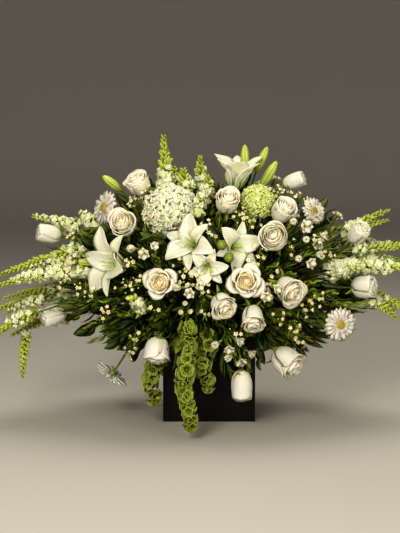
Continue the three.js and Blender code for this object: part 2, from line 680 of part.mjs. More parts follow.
function greenery(name) {
  const side = SIDES[name];
  const random = dice(7 + Object.keys(SIDES).indexOf(name) * 101);
  const foot = footOf(side);
  const forms = [bunch(foot, 0)];
  const others = [];
  const stems = [];
  const addStem = (base, direction, radius, own) => {
    const stem = stemCurve(startOf(foot, base), base, direction, side, own);
    forms.push(tube(stem, radius));
    stems.push(...stem.points);
    return stem;
  };
  const grown = [];
  for (const head of heads.filter((h) => h.side === name)) {
    const stem = addStem(head.base, head.direction, STEM_RADIUS, head);
    if (head.kind !== "bells") grown.push(stem);
  }
  for (const { at, face, length: L, width: W } of BUDS) {
    const base = new THREE.Vector3(...at);
    if (sideAt(base) !== name) continue;
    const direction = facing(...face);
    addStem(base, direction, TWIG_RADIUS);
    const bud = turned([[0, -4], [0.5 * W, 0.34 * L], [0.4 * W, 0.7 * L], [0, L]], 5);
    forms.push(aimed(bud, base, direction));
  }
  for (const { at, face } of FILLERS) {
    const base = new THREE.Vector3(...at);
    if (sideAt(base) !== name) continue;
    const direction = facing(...face);
    addStem(base, direction, TWIG_RADIUS);
    forms.push(aimed(floret(15, 3, 9), base.addScaledVector(direction, 3), direction, random() * 6));
  }
  const sprigs = [];
  for (let k = 0; k < side.sprigs; k++) {
    for (let attempt = 0; attempt < 12; attempt++) {
      const azimuth = lerp(side.from, side.to, 0.15 + 0.7 * ((k * 0.618 + 0.31 + 0.13 * attempt) % 1));
      const elevation = lerp(-46, 78, (k + 0.5) / side.sprigs) + 8 * (random() - 0.5);
      const end = onDome(facing(azimuth, elevation), lerp(0.9, 0.98, random()));
      const direction = end.clone().setZ(end.z - DOME.centre_z + 30).normalize();
      if (!isClear(end, 6)) continue;
      const stem = stemCurve(startOf(foot, end), end, direction, side);
      const isInside = (p) => insideBy(p, side) > 1 + TWIG_RADIUS;
      const isFree = (p, i) => isClear(p, TWIG_RADIUS) && isInside(p) && (i < 2 || !nearVase(p));
      if (!stem.points.every(isFree)) continue;
      forms.push(tube(stem, TWIG_RADIUS));
      stems.push(...stem.points);
      sprigs.push(stem);
      break;
    }
  }
  const addLeaf = (stem, from, to) => {
    forms.push(...clearLeaf(stem, [from, to], side, others, stems, random));
  };
  for (const stem of sprigs) {
    for (let j = 0; j < SPRIG_LEAVES; j++) {
      const from = 0.5 + (0.46 * j) / SPRIG_LEAVES;
      addLeaf(stem, from, from + 0.08);
    }
  }
  for (const stem of grown) addLeaf(stem, 0.5, 0.8);
  return joined(forms);
}

function vaseSolid() {
  const hollow = VASE_SIDE - 2 * VASE_WALL;
  const block = new THREE.BoxGeometry(VASE_SIDE, VASE_SIDE, VASE_SIDE).translate(0, 0, VASE_SIDE / 2);
  const inside = new THREE.BoxGeometry(hollow, hollow, VASE_SIDE);
  return joined([block]).subtract(joined([inside.translate(0, 0, VASE_SIDE / 2 + VASE_WALL)]));
}

function foamBlock() {
  const height = FOAM_TOP - VASE_WALL - GAP;
  const block = new THREE.BoxGeometry(FOAM_SIDE, FOAM_SIDE, height);
  return joined([block.translate(0, 0, FOAM_TOP - height / 2)]);
}

// The stems of one side, gathered where they stand in the foam
function bunch(foot, grow) {
  const r = BUNCH_RADIUS + grow;
  const low = FOAM_TOP - BUNCH_DEPTH;
  return turned([[0, low - grow], [r, low - grow], [r, FOAM_TOP + 18 + grow], [0, FOAM_TOP + 22 + grow]], 6)
    .translate(foot.x, foot.y, 0);
}

const group = new THREE.Group();
const materials = Object.fromEntries(
  Object.entries(COLOURS).map(([name, look]) => {
    return [name, new THREE.MeshStandardMaterial({ ...look, metalness: 0 })];
  }),
);

// A profile a little larger all round, with room for the corners that a turned form has
const grownBy = (profile, grow) => profile.map(([r, z]) => [r ? 1.04 * r + grow : 0, z]);

// Adds a piece, in the frame of its own base where it has one
function addMesh(name, solid, material, base, direction) {
  const mesh = new THREE.Mesh(geometryOf(solid), materials[material]);
  mesh.name = name;
  if (base) {
    mesh.position.copy(base);
    mesh.quaternion.setFromUnitVectors(UP, direction);
    mesh.updateMatrixWorld(true);
    mesh.geometry.applyMatrix4(mesh.matrixWorld.clone().invert());
  }
  group.add(mesh);
}

// Heads: where two would cross, the later one gives way.
const placed = [];
for (const head of heads) {
  let solid = joined(head.forms.map((form) => aimed(form, head.base, head.direction)));
  const clear = joined([aimed(turned(grownBy(head.needs, GAP), 12), head.base, head.direction)]);
  for (const other of placed) {
    if (solid.intersect(other.solid).volume() > 0) solid = solid.subtract(other.clear);
  }
  solid = largestBody(solid);
  placed.push({ solid, clear });
  addMesh(head.name, solid, head.kind, head.base, head.direction);
}

// Greenery, cut clear of what it would still cross
let foam = foamBlock();
for (const name of Object.keys(SIDES)) {
  const space = joined([sideSpace(SIDES[name])]);
  let solid = greenery(name).intersect(space);
  for (const bloom of placed) {
    if (solid.intersect(bloom.solid).volume() > 0) solid = solid.subtract(bloom.clear);
  }
  solid = largestBody(solid);
  foam = foam.subtract(joined([bunch(footOf(SIDES[name]), GAP)]));
  addMesh(`greenery_${name}`, solid, "leaf");
}
addMesh("vase", vaseSolid(), "vase");
addMesh("floral_foam", foam, "foam");

export default group;
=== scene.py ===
"""Dresses a white casket spray in a black cube vase. Metres, +Z up, and the front is -Y."""

import math

import bpy
import numpy as np
from mathutils import Matrix, Quaternion, Vector


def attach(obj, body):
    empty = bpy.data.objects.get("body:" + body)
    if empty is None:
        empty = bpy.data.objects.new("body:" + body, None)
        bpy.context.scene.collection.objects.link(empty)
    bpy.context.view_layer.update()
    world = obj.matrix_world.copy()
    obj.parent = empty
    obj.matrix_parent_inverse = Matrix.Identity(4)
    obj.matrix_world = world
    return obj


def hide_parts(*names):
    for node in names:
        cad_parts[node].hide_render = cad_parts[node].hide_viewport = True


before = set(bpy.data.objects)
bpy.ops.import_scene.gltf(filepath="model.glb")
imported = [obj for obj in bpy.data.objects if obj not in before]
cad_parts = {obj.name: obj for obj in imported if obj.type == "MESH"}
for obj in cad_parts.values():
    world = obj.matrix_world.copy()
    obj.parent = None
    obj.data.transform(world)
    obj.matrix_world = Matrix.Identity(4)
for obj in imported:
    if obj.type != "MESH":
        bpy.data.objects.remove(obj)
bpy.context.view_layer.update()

bl_info = {
    "name": "Casket Spray",
    "version": (1, 0, 0),
    "blender": (4, 5, 0),
    "location": "3D View > Sidebar > Spray",
    "description": "Dresses a white casket spray in a black cube vase, flower by flower",
    "category": "Add Mesh",
}

UP = Vector((0.0, 0.0, 1.0))
TINY = 1e-6
GOLDEN_TURN = math.radians(137.508)

# What the spray is made of. The tables are in millimetres and degrees


def in_metres(row):
    return tuple(number / 1000 for number in row)


def placed(columns, row):
    """A row of a table by its columns, in metres. It starts with a point and the way that the flower
    there faces: its azimuth (0 is the front and 90 is +X) and its elevation."""
    size = dict(zip(columns.split(), row[5:]))
    for column in ("length", "width", "height"):
        if column in size:
            size[column] /= 1000
    return dict(size, at=in_metres(row[:3]), face=row[3:5])


def plain_rows(columns, *table):
    return [placed(columns, row) for row in table]


def named_rows(columns, **table):
    return {name: placed(columns, row) for name, row in table.items()}


# The point of a rose, gerbera or hydrangea is its middle, and that of the others is their base.
# opened goes from 0, a closed rose, to 1, a full-blown one.
ROSES = named_rows(
    "width height opened",
    rose_crown_left=(-155, -55, 522, -40, 50, 62, 54, 0.5),
    rose_shoulder_left=(-184, -138, 442, -14, 22, 64, 56, 0.5),
    rose_far_left_upper=(-358, -25, 410, -80, 12, 45, 58, 0.1),
    rose_far_left_lower=(-346, -64, 232, -75, -22, 45, 60, 0.1),
    rose_open_left=(-102, -222, 324, -12, 8, 70, 50, 1),
    rose_skirt_left=(-111, -202, 176, -12, -74, 60, 58, 0.45),
    rose_crown_centre=(40, -138, 488, 5, 42, 56, 56, 0.35),
    rose_open_centre=(76, -232, 327, 0, 10, 74, 50, 1),
    rose_centre_low=(28, -240, 279, 28, -26, 57, 54, 0.7),
    rose_skirt_centre=(90, -228, 248, 6, -48, 55, 58, 0.6),
    rose_hanging=(70, -188, 98, 8, -84, 50, 68, 0.14),
    rose_low_right=(166, -168, 147, 52, -32, 66, 70, 0.5),
    rose_right_upper=(158, -122, 468, 36, 40, 56, 54, 0.35),
    rose_right_middle=(137, -184, 415, -14, 20, 64, 56, 0.28),
    rose_right_open=(168, -214, 308, 34, -18, 68, 60, 0.6),
    rose_crown_right=(190, -20, 528, 80, 22, 38, 52, 0.1),
    rose_far_right_upper=(332, -40, 411, 40, 42, 46, 56, 0.2),
    rose_far_right_lower=(340, -92, 300, 64, 8, 54, 56, 0.3),
    rose_back_left=(-185, 150, 425, -145, 28, 64, 56, 0.6),
    rose_back_centre=(35, 212, 340, 174, 8, 70, 50, 1),
    rose_back_right=(190, 150, 420, 146, 28, 60, 56, 0.4),
)
GERBERAS = named_rows(
    "width",
    gerbera_left=(-230, -82, 473, -52, 16, 82),
    gerbera_right=(228, -96, 466, 36, 18, 66),
    gerbera_low_right=(281, -162, 226, 20, -4, 80),
    gerbera_low_left=(-216, -78, 102, -96, -52, 90),
    gerbera_back=(150, 172, 300, 146, -4, 82),
)
# flare is how far a lily's tepals bend out and roll its turn about its own axis, in degrees.
LILIES = named_rows(
    "length flare roll",
    lily_left=(-178, -150, 354, -52, 6, 108, 74, 30),
    lily_centre_left=(-28, -174, 394, -30, 24, 80, 84, 46),
    lily_centre_front=(-4, -196, 358, 0, -8, 58, 84, -20),
    lily_centre_right=(46, -160, 392, 26, 8, 74, 84, 12),
    lily_crown=(60, -46, 506, 8, 80, 98, 46),
    lily_back=(-20, 138, 410, 184, 30, 92, 80),
)
HYDRANGEAS = named_rows(
    "width slot",
    hydrangea_left=(-84, -112, 466, -14, 42, 118, "hydrangea"),
    hydrangea_back=(-95, 118, 455, -165, 38, 110, "hydrangea"),
    hydrangea_right=(104, -98, 486, 15, 55, 74, "green_hydrangea"),
)
STOCKS = named_rows(
    "length width",
    stock_left=(-140, -190, 262, -34, 34, 60, 44),
    stock_right=(258, -106, 332, 52, 18, 84, 62),
)
# Shares of a spike's length: it has no flowers below bare, flowers up to bloom and buds above that,
# and arch is how far it bends upwards.
SNAPDRAGONS = named_rows(
    "length width bloom bare arch",
    snapdragon_crown=(-96, -40, 512, -20, 84, 122, 42, 0.45),
    snapdragon_left_1=(-292, -10, 424, -88, 14, 110, 32, 0.9),
    snapdragon_left_2=(-282, -42, 378, -88, -18, 210, 34, 0.15),
    snapdragon_left_3=(-262, -100, 336, -84, -10, 222, 38, 0.7),
    snapdragon_left_4=(-266, -20, 296, -89, -15, 226, 38, 0.5),
    snapdragon_left_5=(-318, -100, 262, -84, -26, 190, 38, 0.62, 0.4, 0.08),
    snapdragon_right_1=(300, 8, 404, 92, 28, 126, 32, 0.3),
    snapdragon_right_2=(318, 12, 372, 92, 4, 160, 36, 0.45),
    snapdragon_right_3=(304, -50, 340, 87, -2, 190, 38, 0.6),
    snapdragon_right_4=(334, -10, 286, 84, -22, 150, 38, 0.35),
)
BELLS = named_rows(
    "length width",
    bells_front=(-50, -212, 238, 5, -73, 236, 54),
    bells_left=(-120, -150, 158, -8, -82, 112, 42),
    bells_middle=(-8, -180, 214, 4, -84, 140, 46),
)
# Short spikes among and behind the snapdragons, and then a green one that hangs at the far left
FILLER_SPIKES = plain_rows(
    "length width bloom",
    (-50, -60, 500, -20, 72, 64, 40, 0.5), (-20, -10, 515, 0, 80, 74, 36, 0.45),
    (-5, -80, 490, 10, 66, 60, 38, 0.55), (-22, -120, 470, 5, 46, 46, 36, 0.8),
    (-250, -50, 430, -70, 40, 50, 36, 0.9), (-72, -30, 510, -40, 76, 56, 38, 0.35),
    (-130, 60, 470, -150, 56, 70, 36, 0.7), (110, 80, 470, 150, 56, 76, 36, 0.7),
    (90, 170, 380, 160, 26, 60, 38, 0.9), (-120, 180, 270, -150, -6, 60, 38, 0.9),
    (20, 180, 240, 175, -20, 56, 38, 0.9), (-307, -70, 352, -100, -10, 113, 26, 0.9),
    (-298, -50, 300, -95, -12, 170, 28, 0.3), (-309, -20, 276, -93, -14, 150, 26, 0.2),
    (-375, -30, 239, -84, -28, 102, 28, 0.1), (317, 20, 411, 96, 16, 100, 26, 0.2),
    (323, 30, 351, 90, -2, 119, 28, 0.7), (362, -60, 266, 77, -36, 70, 28, 0.3),
    (320, -30, 375, 95, 1, 109, 26, 0.4), (-325, 0, 221, -95, -20, 139, 30, 0.25),
    (-369, -40, 270, -96, -25, 101, 28, 0.85), (-281, -10, 377, -97, -20, 94, 30, 0.15),
    (-349, 20, 269, -96, -16, 103, 28, 0.5), (318, -10, 359, 95, -8, 109, 30, 0.9),
    (354, -20, 269, 98, -28, 80, 30, 0.5), (327, 30, 392, 98, -11, 77, 28, 0.8),
    (-280, 60, 390, -112, 14, 120, 30, 0.5), (-250, 100, 300, -120, -14, 120, 30, 0.3),
    (270, 80, 360, 112, 8, 130, 30, 0.6), (240, 110, 270, 120, -18, 120, 30, 0.3),
)
HANGING_SPIKE = placed("length width", (-410, -28, 192, -95, -84, 112, 30))
LILY_BUDS = plain_rows(
    "length width",
    (-196, -34, 508, -66, 38, 54, 20), (-238, -104, 352, -84, 4, 62, 18),
    (80, -14, 552, 0, 86, 58, 20), (106, -6, 548, 88, 66, 62, 20), (116, -24, 514, 70, 58, 70, 22),
)
# Round green buds that stand in front of the right-hand lily, on stalks from its foot
GREEN_BUDS = [(25, -214, 402), (40, -222, 376)]
GREEN_BUD_FOOT = (36, -158, 380)

# Small white flowers among the greenery at the front
ALSTROEMERIAS = plain_rows(
    "",
    (-136, -206, 384, -12, 10), (-40, -240, 306, -14, 4), (40, -236, 190, 8, -24),
    (66, -214, 160, 14, -30), (204, -140, 436, 22, 16), (226, -150, 400, 34, 8),
    (212, -176, 362, 24, 4), (118, -236, 300, -4, -6),
)
DAISIES = [
    (-51, -236, 282), (-60, -236, 263), (-40, -238, 265), (142, -215, 347),
]
# Each row ends with how many waxflowers stand together.
WAXFLOWERS = [
    (-162, -90, 496, 6), (-131, -146, 462, 5), (-172, -193, 364, 5), (-176, -206, 315, 8),
    (-152, -210, 326, 6), (-223, -194, 258, 5), (-116, -225, 266, 3), (-281, -161, 305, 5),
    (-258, -176, 290, 6), (-53, -216, 366, 10), (-37, -225, 338, 9), (-62, -226, 325, 7),
    (-162, -198, 198, 5), (-174, -168, 165, 4), (149, 0, 534, 6), (142, -73, 511, 9),
    (175, -46, 509, 7), (201, -54, 496, 6), (171, -179, 397, 5), (93, -212, 362, 5),
    (120, -218, 320, 6), (127, -220, 304, 5), (230, -190, 285, 6), (206, -201, 263, 5),
    (146, -218, 246, 5), (181, -200, 216, 5), (193, -182, 189, 3), (55, -225, 216, 4),
    (-14, -232, 305, 6), (-10, -235, 259, 3), (-129, -81, 511, 5), (65, -160, 463, 9),
    (86, -168, 449, 7), (5, -195, 419, 3), (110, -199, 390, 4), (237, -144, 407, 6),
    (258, -151, 373, 6), (-301, -129, 358, 7), (-318, -130, 319, 6), (-9, -181, 441, 5),
]
# Leafy sprigs that hang over the rim of the vase: their ends and the way that they hang
HANGING_SPRIGS = plain_rows(
    "",
    (40, -170, 124, 6, -70), (88, -165, 122, 20, -60), (116, -180, 170, 30, -40),
    (-20, -195, 178, -6, -40), (-149, -170, 183, -40, -36), (-193, -150, 195, -56, -24),
    (163, -150, 180, 46, -30), (56, -200, 156, 10, -44), (10, -200, 199, 2, -30),
    (-73, -200, 188, -18, -40), (-90, -170, 150, -30, -60), (140, -130, 140, 50, -50),
    (-150, 120, 150, -130, -50), (0, 160, 140, 180, -55), (150, 120, 150, 130, -50),
    (200, 20, 150, 90, -45), (-200, 30, 150, -90, -45),
)
# Groups of broad, bright leaves: where they fork and the way that they point
LEAF_GROUPS = plain_rows(
    "",
    (-115, -185, 412, -60, 10), (225, -125, 405, 50, 20), (240, -135, 236, 60, -30),
    (-238, -122, 422, -84, 0), (-60, -215, 200, -20, -30), (100, 190, 380, 150, 20),
    (-120, 190, 330, -150, 10), (0, 120, 500, 180, 50),
)

# The sides of the spray, as ranges of azimuth in degrees. Each is one piece of greenery.
SIDES = {
    "front": (-19.7, 30.5),
    "front_right": (30.5, 65.8),
    "right": (65.8, 109),
    "back_right": (109, 154),
    "back": (154, 208),
    "back_left": (208, 252),
    "left": (252, 297.5),
    "front_left": (297.5, 340.3),
}

# The vase, the foam and the circle of holes in it that the bunches of stems stand in, in metres
VASE_SIDE = 0.203
FOAM_TOP = 0.235
HOLE_CIRCLE = 0.055
# The outer shape that the greenery fills: half widths, height over and depth under its middle
DOME = dict(half_x=0.375, half_y=0.222, up=0.272, down=0.118, middle=0.262)
# How thick a leaf is, and how long a large leaf is and how far its tip bends
LEAF_THICK = 0.0005
LARGE_LEAF = 0.084
LEAF_CURL = math.radians(26)
# The least length of the last third of a large leaf in the CAD
SHORTEST_TIP = 0.014
# The radii of the stems of each kind
STEMS = {
    "bloom": 0.0026,
    "bunch": 0.0024,
    "spike": 0.0018,
    "leaves": 0.0016,
    "sprig": 0.0012,
    "daisy": 0.001,
    "twig": 0.0006,
}
# How far apart florets stand along a snapdragon and whorls along a stem of bells
FLORET_STEP = 0.0026
WHORL_STEP = 0.0155
# The area of a stock's outline for each of its florets, in square metres
STOCK_FLORET_ROOM = 0.000105
# The radius of a stock floret, of a bell's rim and of a hydrangea's floret
STOCK_FLORET = 0.0122
BELL_RIM = 0.0118
HYDRANGEA_FLORETS = {"hydrangea": 0.0092, "green_hydrangea": 0.0072}
# A hydrangea's florets, as a multiple of its radius squared over theirs squared
HYDRANGEA_COVER = 8.2

# The studio: each lamp's place, size and power, and the light from all round
LAMPS = {
    "key": ((-0.9, -2.7, 1.5), 1.4, 76),
    "fill": ((1.4, -2.6, 0.9), 2.0, 42),
    "top": ((0.2, 0.7, 2.6), 1.6, 30),
}
LAMP_COLOUR = (1.0, 0.94, 0.83)
LAMP_AIM = Vector((0, 0, 0.3))
WORLD_COLOUR = (0.84, 0.81, 0.76, 1.0)
WORLD_STRENGTH = 0.46
EXPOSURE = -0.32
# The camera stands about where the photo's did and looks 6 degrees down.
CAMERA_AT = (-0.020, -2.833, 0.632)
CAMERA_TILT = math.radians(84)


class SpraySizes(bpy.types.PropertyGroup):
    """Sizes that a user may change"""

    petal_thick: bpy.props.FloatProperty(
        name="Petal thickness", description="Of a rose or lily petal", default=0.0008, unit="LENGTH"
    )
    leaf_length: bpy.props.FloatProperty(
        name="Leaf length", description="Of a broad leaf on a sprig", default=0.062, unit="LENGTH"
    )
    sprigs: bpy.props.IntProperty(
        name="Sprigs", description="Leafy sprigs in the whole spray", default=330, min=0
    )
    needle_sprigs: bpy.props.IntProperty(
        name="Needle sprigs", description="Sprigs of fine narrow leaves, all round", default=170, min=0
    )
    wax_sprigs: bpy.props.IntProperty(
        name="Waxflower sprigs", description="Sprigs of small white flowers, all round", default=60, min=0
    )
    lens: bpy.props.FloatProperty(
        name="Lens", description="Focal length of the camera", default=85.0, subtype="DISTANCE_CAMERA"
    )


def colour(name, description, default):
    return bpy.props.FloatVectorProperty(
        name=name, description=description, default=(*default, 1.0), size=4, subtype="COLOR", min=0, max=1
    )


class SprayColours(bpy.types.PropertyGroup):
    """Colours that a user may change"""

    rose: colour("Rose", "Outer petals of the roses", (0.84, 0.80, 0.64))
    rose_heart: colour("Rose heart", "Inner petals of the open roses", (0.90, 0.71, 0.41))
    lily: colour("Lily", "Tepals of the lilies", (0.79, 0.77, 0.57))
    gerbera: colour("Gerbera", "Rays of the gerberas", (0.86, 0.82, 0.66))
    hydrangea: colour("Hydrangea", "White florets", (0.70, 0.68, 0.51))
    floret: colour("Floret", "Snapdragon and stock florets", (0.72, 0.74, 0.46))
    bells: colour("Bells of Ireland", "Green cups", (0.17, 0.215, 0.018))
    leaf_dark: colour("Dark leaf", "The darkest leaves", (0.011, 0.026, 0.003))
    leaf_light: colour("Light leaf", "The lightest leaves", (0.13, 0.175, 0.02))
    stem: colour("Stem", "Stems and twigs", (0.13, 0.19, 0.03))
    vase: colour("Vase", "The cube vase", (0.0026, 0.0024, 0.0022))
    floor: colour("Floor", "Floor and backdrop", (0.46, 0.44, 0.41))


def sizes():
    return bpy.context.scene.spray_sizes


def colours():
    return bpy.context.scene.spray_colours


# Numbers and places


def mix(a, b, share):
    return a + (b - a) * share


def smooth(low, high, value):
    t = np.clip((value - low) / (high - low), 0, 1)
    return t * t * (3 - 2 * t)


def facing(azimuth, elevation):
    a, e = math.radians(azimuth), math.radians(elevation)
    return Vector((math.sin(a) * math.cos(e), -math.cos(a) * math.cos(e), math.sin(e)))


def spot(point, direction, roll=0.0, size=1.0):
    """The place of a form whose root is at a point and which grows along a direction."""
    turn = UP.rotation_difference(direction) @ Quaternion(UP, roll)
    return Matrix.LocRotScale(Vector(point), turn, Vector((size, size, size)))


def bezier(controls, share):
    """A smooth curve drawn by its control points, at each share along it."""
    share = np.asarray(share, float)[..., None]
    level = [np.asarray(c, float) for c in controls]
    while len(level) > 1:
        level = [a + (b - a) * share for a, b in zip(level, level[1:])]
    return level[0]


def curled(length, angles):
    """A middle line whose angle from Z goes evenly through angles: gives out, along and angle."""
    share = np.linspace(0, 1, 65)
    angle = np.interp(share, np.linspace(0, 1, len(angles)), angles)
    step = length / 64
    out = np.concatenate([[0], np.cumsum(np.sin((angle[1:] + angle[:-1]) / 2) * step)])
    along = np.concatenate([[0], np.cumsum(np.cos((angle[1:] + angle[:-1]) / 2) * step)])

    def at(t):
        t = np.clip(t, 0, 1)
        return np.interp(t, share, out), np.interp(t, share, along), np.interp(t, share, angle)

    return at


# Forms: modelled once, then copied


class Form:
    """A modelled shape as plain arrays, ready to be copied into a piece."""

    KEYS = ("points", "corners", "counts", "finish", "across", "along", "tone")

    def __init__(self, *arrays):
        for key, array in zip(self.KEYS, arrays):
            setattr(self, key, array)


def read(items, key, width=1, kind=np.float32):
    values = np.empty(len(items) * width, kind)
    items.foreach_get(key, values)
    return values.reshape(-1, width) if width > 1 else values


def keep(model, key, values):
    """Writes one number for each of a model's points."""
    data = model.data.attributes.get(key) or model.data.attributes.new(key, "FLOAT", "POINT")
    data.data.foreach_set("value", np.asarray(values, np.float32))


def marked(mesh, key):
    if key in mesh.attributes:
        return read(mesh.attributes[key].data, "value")
    return np.zeros(len(mesh.vertices), np.float32)


def taken(model, finish):
    """Takes a finished model out of the scene as a form."""
    mesh = model.data
    points = read(mesh.vertices, "co", 3)
    corners = read(mesh.loops, "vertex_index", kind=np.int32)
    counts = read(mesh.polygons, "loop_total", kind=np.int32)
    finishes = np.full(len(counts), FINISHES.index(finish), np.int32)
    tone = np.full(len(points), 0.5, np.float32)
    form = Form(points, corners, counts, finishes, marked(mesh, "across"), marked(mesh, "along"), tone)
    bpy.data.objects.remove(model)
    if mesh.users == 0:
        bpy.data.meshes.remove(mesh)
    return form


def editing(is_on):
    bpy.ops.object.mode_set(mode="EDIT" if is_on else "OBJECT")


def sheet(columns, rows, rule, thick, finish):
    """A petal or leaf, closed and thin. rule gives the points of its middle surface from their
    shares across it (-1 to 1) and along it (0 to 1)."""
    bpy.ops.object.select_all(action="DESELECT")
    bpy.ops.mesh.primitive_grid_add(x_subdivisions=columns, y_subdivisions=rows, size=1)
    model = bpy.context.object
    count = len(model.data.vertices)
    editing(True)
    bpy.ops.mesh.select_all(action="SELECT")
    bpy.ops.mesh.duplicate()
    bpy.ops.mesh.flip_normals()
    editing(False)
    flat = read(model.data.vertices, "co", 3).astype(float)
    across, along = 2 * flat[:, 0], flat[:, 1] + 0.5
    step = 1e-3
    middle = rule(across, along)
    normal = np.cross(rule(across + step, along) - middle, rule(across, along + step) - middle)
    normal /= np.linalg.norm(normal, axis=1)[:, None] + 1e-12
    inside = (np.abs(across) < 0.999) & (along > 0.001) & (along < 0.999)
    side = np.where(np.arange(len(flat)) < count, 0.5, -0.5)
    points = middle + normal * (thick * inside * side)[:, None]
    model.data.vertices.foreach_set("co", points.astype(np.float32).ravel())
    keep(model, "across", across)
    keep(model, "along", along)
    editing(True)
    bpy.ops.mesh.select_all(action="SELECT")
    bpy.ops.mesh.remove_doubles(threshold=TINY)
    editing(False)
    return taken(model, finish)


def turned(sides, rings, finish, rule=None, thick=0.0):
    """A turned form: a ring of edges, extruded and resized from one (radius, height) to the next.
    rule moves its points from their radius, angle and height."""
    rings = [(max(radius, TINY / 4), height) for radius, height in rings]
    bpy.ops.object.select_all(action="DESELECT")
    bpy.ops.mesh.primitive_circle_add(vertices=sides, radius=rings[0][0], location=(0, 0, rings[0][1]))
    model = bpy.context.object
    bpy.ops.object.transform_apply(location=True, rotation=True, scale=True)
    editing(True)
    bpy.ops.mesh.select_all(action="SELECT")
    for (radius, height), (next_radius, next_height) in zip(rings, rings[1:]):
        bpy.ops.mesh.extrude_region_move(TRANSFORM_OT_translate={"value": (0, 0, next_height - height)})
        grow = next_radius / radius
        bpy.ops.transform.resize(value=(grow, grow, 1), center_override=(0, 0, next_height))
    editing(False)
    points = read(model.data.vertices, "co", 3).astype(float)
    radius = np.hypot(points[:, 0], points[:, 1])
    angle = np.arctan2(points[:, 0], -points[:, 1])
    found = [(radius - r) ** 2 + (points[:, 2] - z) ** 2 for r, z in rings]
    keep(model, "along", np.argmin(found, axis=0) / (len(rings) - 1))
    keep(model, "across", angle / math.pi)
    if rule:
        moved, height = rule(radius, angle, points[:, 2])
        points = np.stack([moved * np.sin(angle), -moved * np.cos(angle), height], axis=1)
        model.data.vertices.foreach_set("co", points.astype(np.float32).ravel())
    editing(True)
    bpy.ops.mesh.select_all(action="SELECT")
    bpy.ops.mesh.remove_doubles(threshold=TINY)
    bpy.ops.mesh.normals_make_consistent(inside=False)
    editing(False)
    if thick:
        bpy.ops.object.modifier_add(type="SOLIDIFY")
        model.modifiers[-1].thickness = thick
        bpy.ops.object.modifier_apply(modifier=model.modifiers[-1].name)
    return taken(model, finish)


def tube(points, radius, finish="stem", thin=1.0):
    """A stem or twig: a curve through points, with a four-sided section that may thin to its end."""
    curve = bpy.data.curves.new("stem", "CURVE")
    curve.dimensions = "3D"
    curve.bevel_depth = radius
    curve.bevel_resolution = 0
    curve.use_fill_caps = True
    spline = curve.splines.new("POLY")
    spline.points.add(len(points) - 1)
    for k, (knot, point) in enumerate(zip(spline.points, points)):
        knot.co = (*point, 1.0)
        knot.radius = mix(1.0, thin, k / (len(points) - 1))
    model = bpy.data.objects.new("stem", curve)
    bpy.context.collection.objects.link(model)
    bpy.ops.object.select_all(action="DESELECT")
    model.select_set(True)
    bpy.context.view_layer.objects.active = model
    bpy.ops.object.convert(target="MESH")
    form = taken(bpy.context.object, finish)
    bpy.data.curves.remove(curve)
    return form


def gathered(parts):
    """One form from copies of many. Each part is a form, its place and perhaps its tone."""
    columns = {key: [] for key in Form.KEYS}
    start = 0
    for form, place, *tone in parts:
        matrix = np.array(place, np.float32)
        columns["points"].append(form.points @ matrix[:3, :3].T + matrix[:3, 3])
        columns["corners"].append(form.corners + start)
        for key in ("counts", "finish", "across", "along"):
            columns[key].append(getattr(form, key))
        columns["tone"].append(np.full(len(form.points), tone[0], np.float32) if tone else form.tone)
        start += len(form.points)
    return Form(*(np.concatenate(columns[key]) for key in Form.KEYS))


def piece(name, form, node):
    """Makes a form one piece of the spray, which stands for a CAD node."""
    mesh = bpy.data.meshes.new(name)
    mesh.vertices.add(len(form.points))
    mesh.vertices.foreach_set("co", form.points.astype(np.float32).ravel())
    mesh.loops.add(len(form.corners))
    mesh.loops.foreach_set("vertex_index", form.corners.astype(np.int32))
    mesh.polygons.add(len(form.counts))
    starts = np.concatenate([[0], np.cumsum(form.counts)[:-1]]).astype(np.int32)
    mesh.polygons.foreach_set("loop_start", starts)
    used = np.unique(form.finish)
    for index in used:
        mesh.materials.append(finish_named(FINISHES[index]))
    mesh.polygons.foreach_set("material_index", np.searchsorted(used, form.finish).astype(np.int32))
    mesh.polygons.foreach_set("use_smooth", np.ones(len(form.counts), bool))
    mesh.update(calc_edges=True)
    mesh.validate()
    model = bpy.data.objects.new(name, mesh)
    bpy.context.collection.objects.link(model)
    for key in ("across", "along", "tone"):
        keep(model, key, getattr(form, key))
    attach(model, "root")
    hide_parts(node)


# Finishes


class Link:
    """A socket in a finish, on which Python's operators add Math nodes."""

    def __init__(self, finish, socket):
        self.finish, self.socket = finish, socket

    def maths(self, operation, *values):
        return self.finish.node("ShaderNodeMath", {"operation": operation}, dict(enumerate(values)))

    def __add__(self, other):
        return self.maths("ADD", self, other)

    def __sub__(self, other):
        return self.maths("SUBTRACT", self, other)

    def __rsub__(self, other):
        return self.maths("SUBTRACT", other, self)

    def __mul__(self, other):
        return self.maths("MULTIPLY", self, other)

    def __abs__(self):
        return self.maths("ABSOLUTE", self)

    def wave(self, operation):
        """SINE or COSINE of this socket"""
        return self.maths(operation, self)


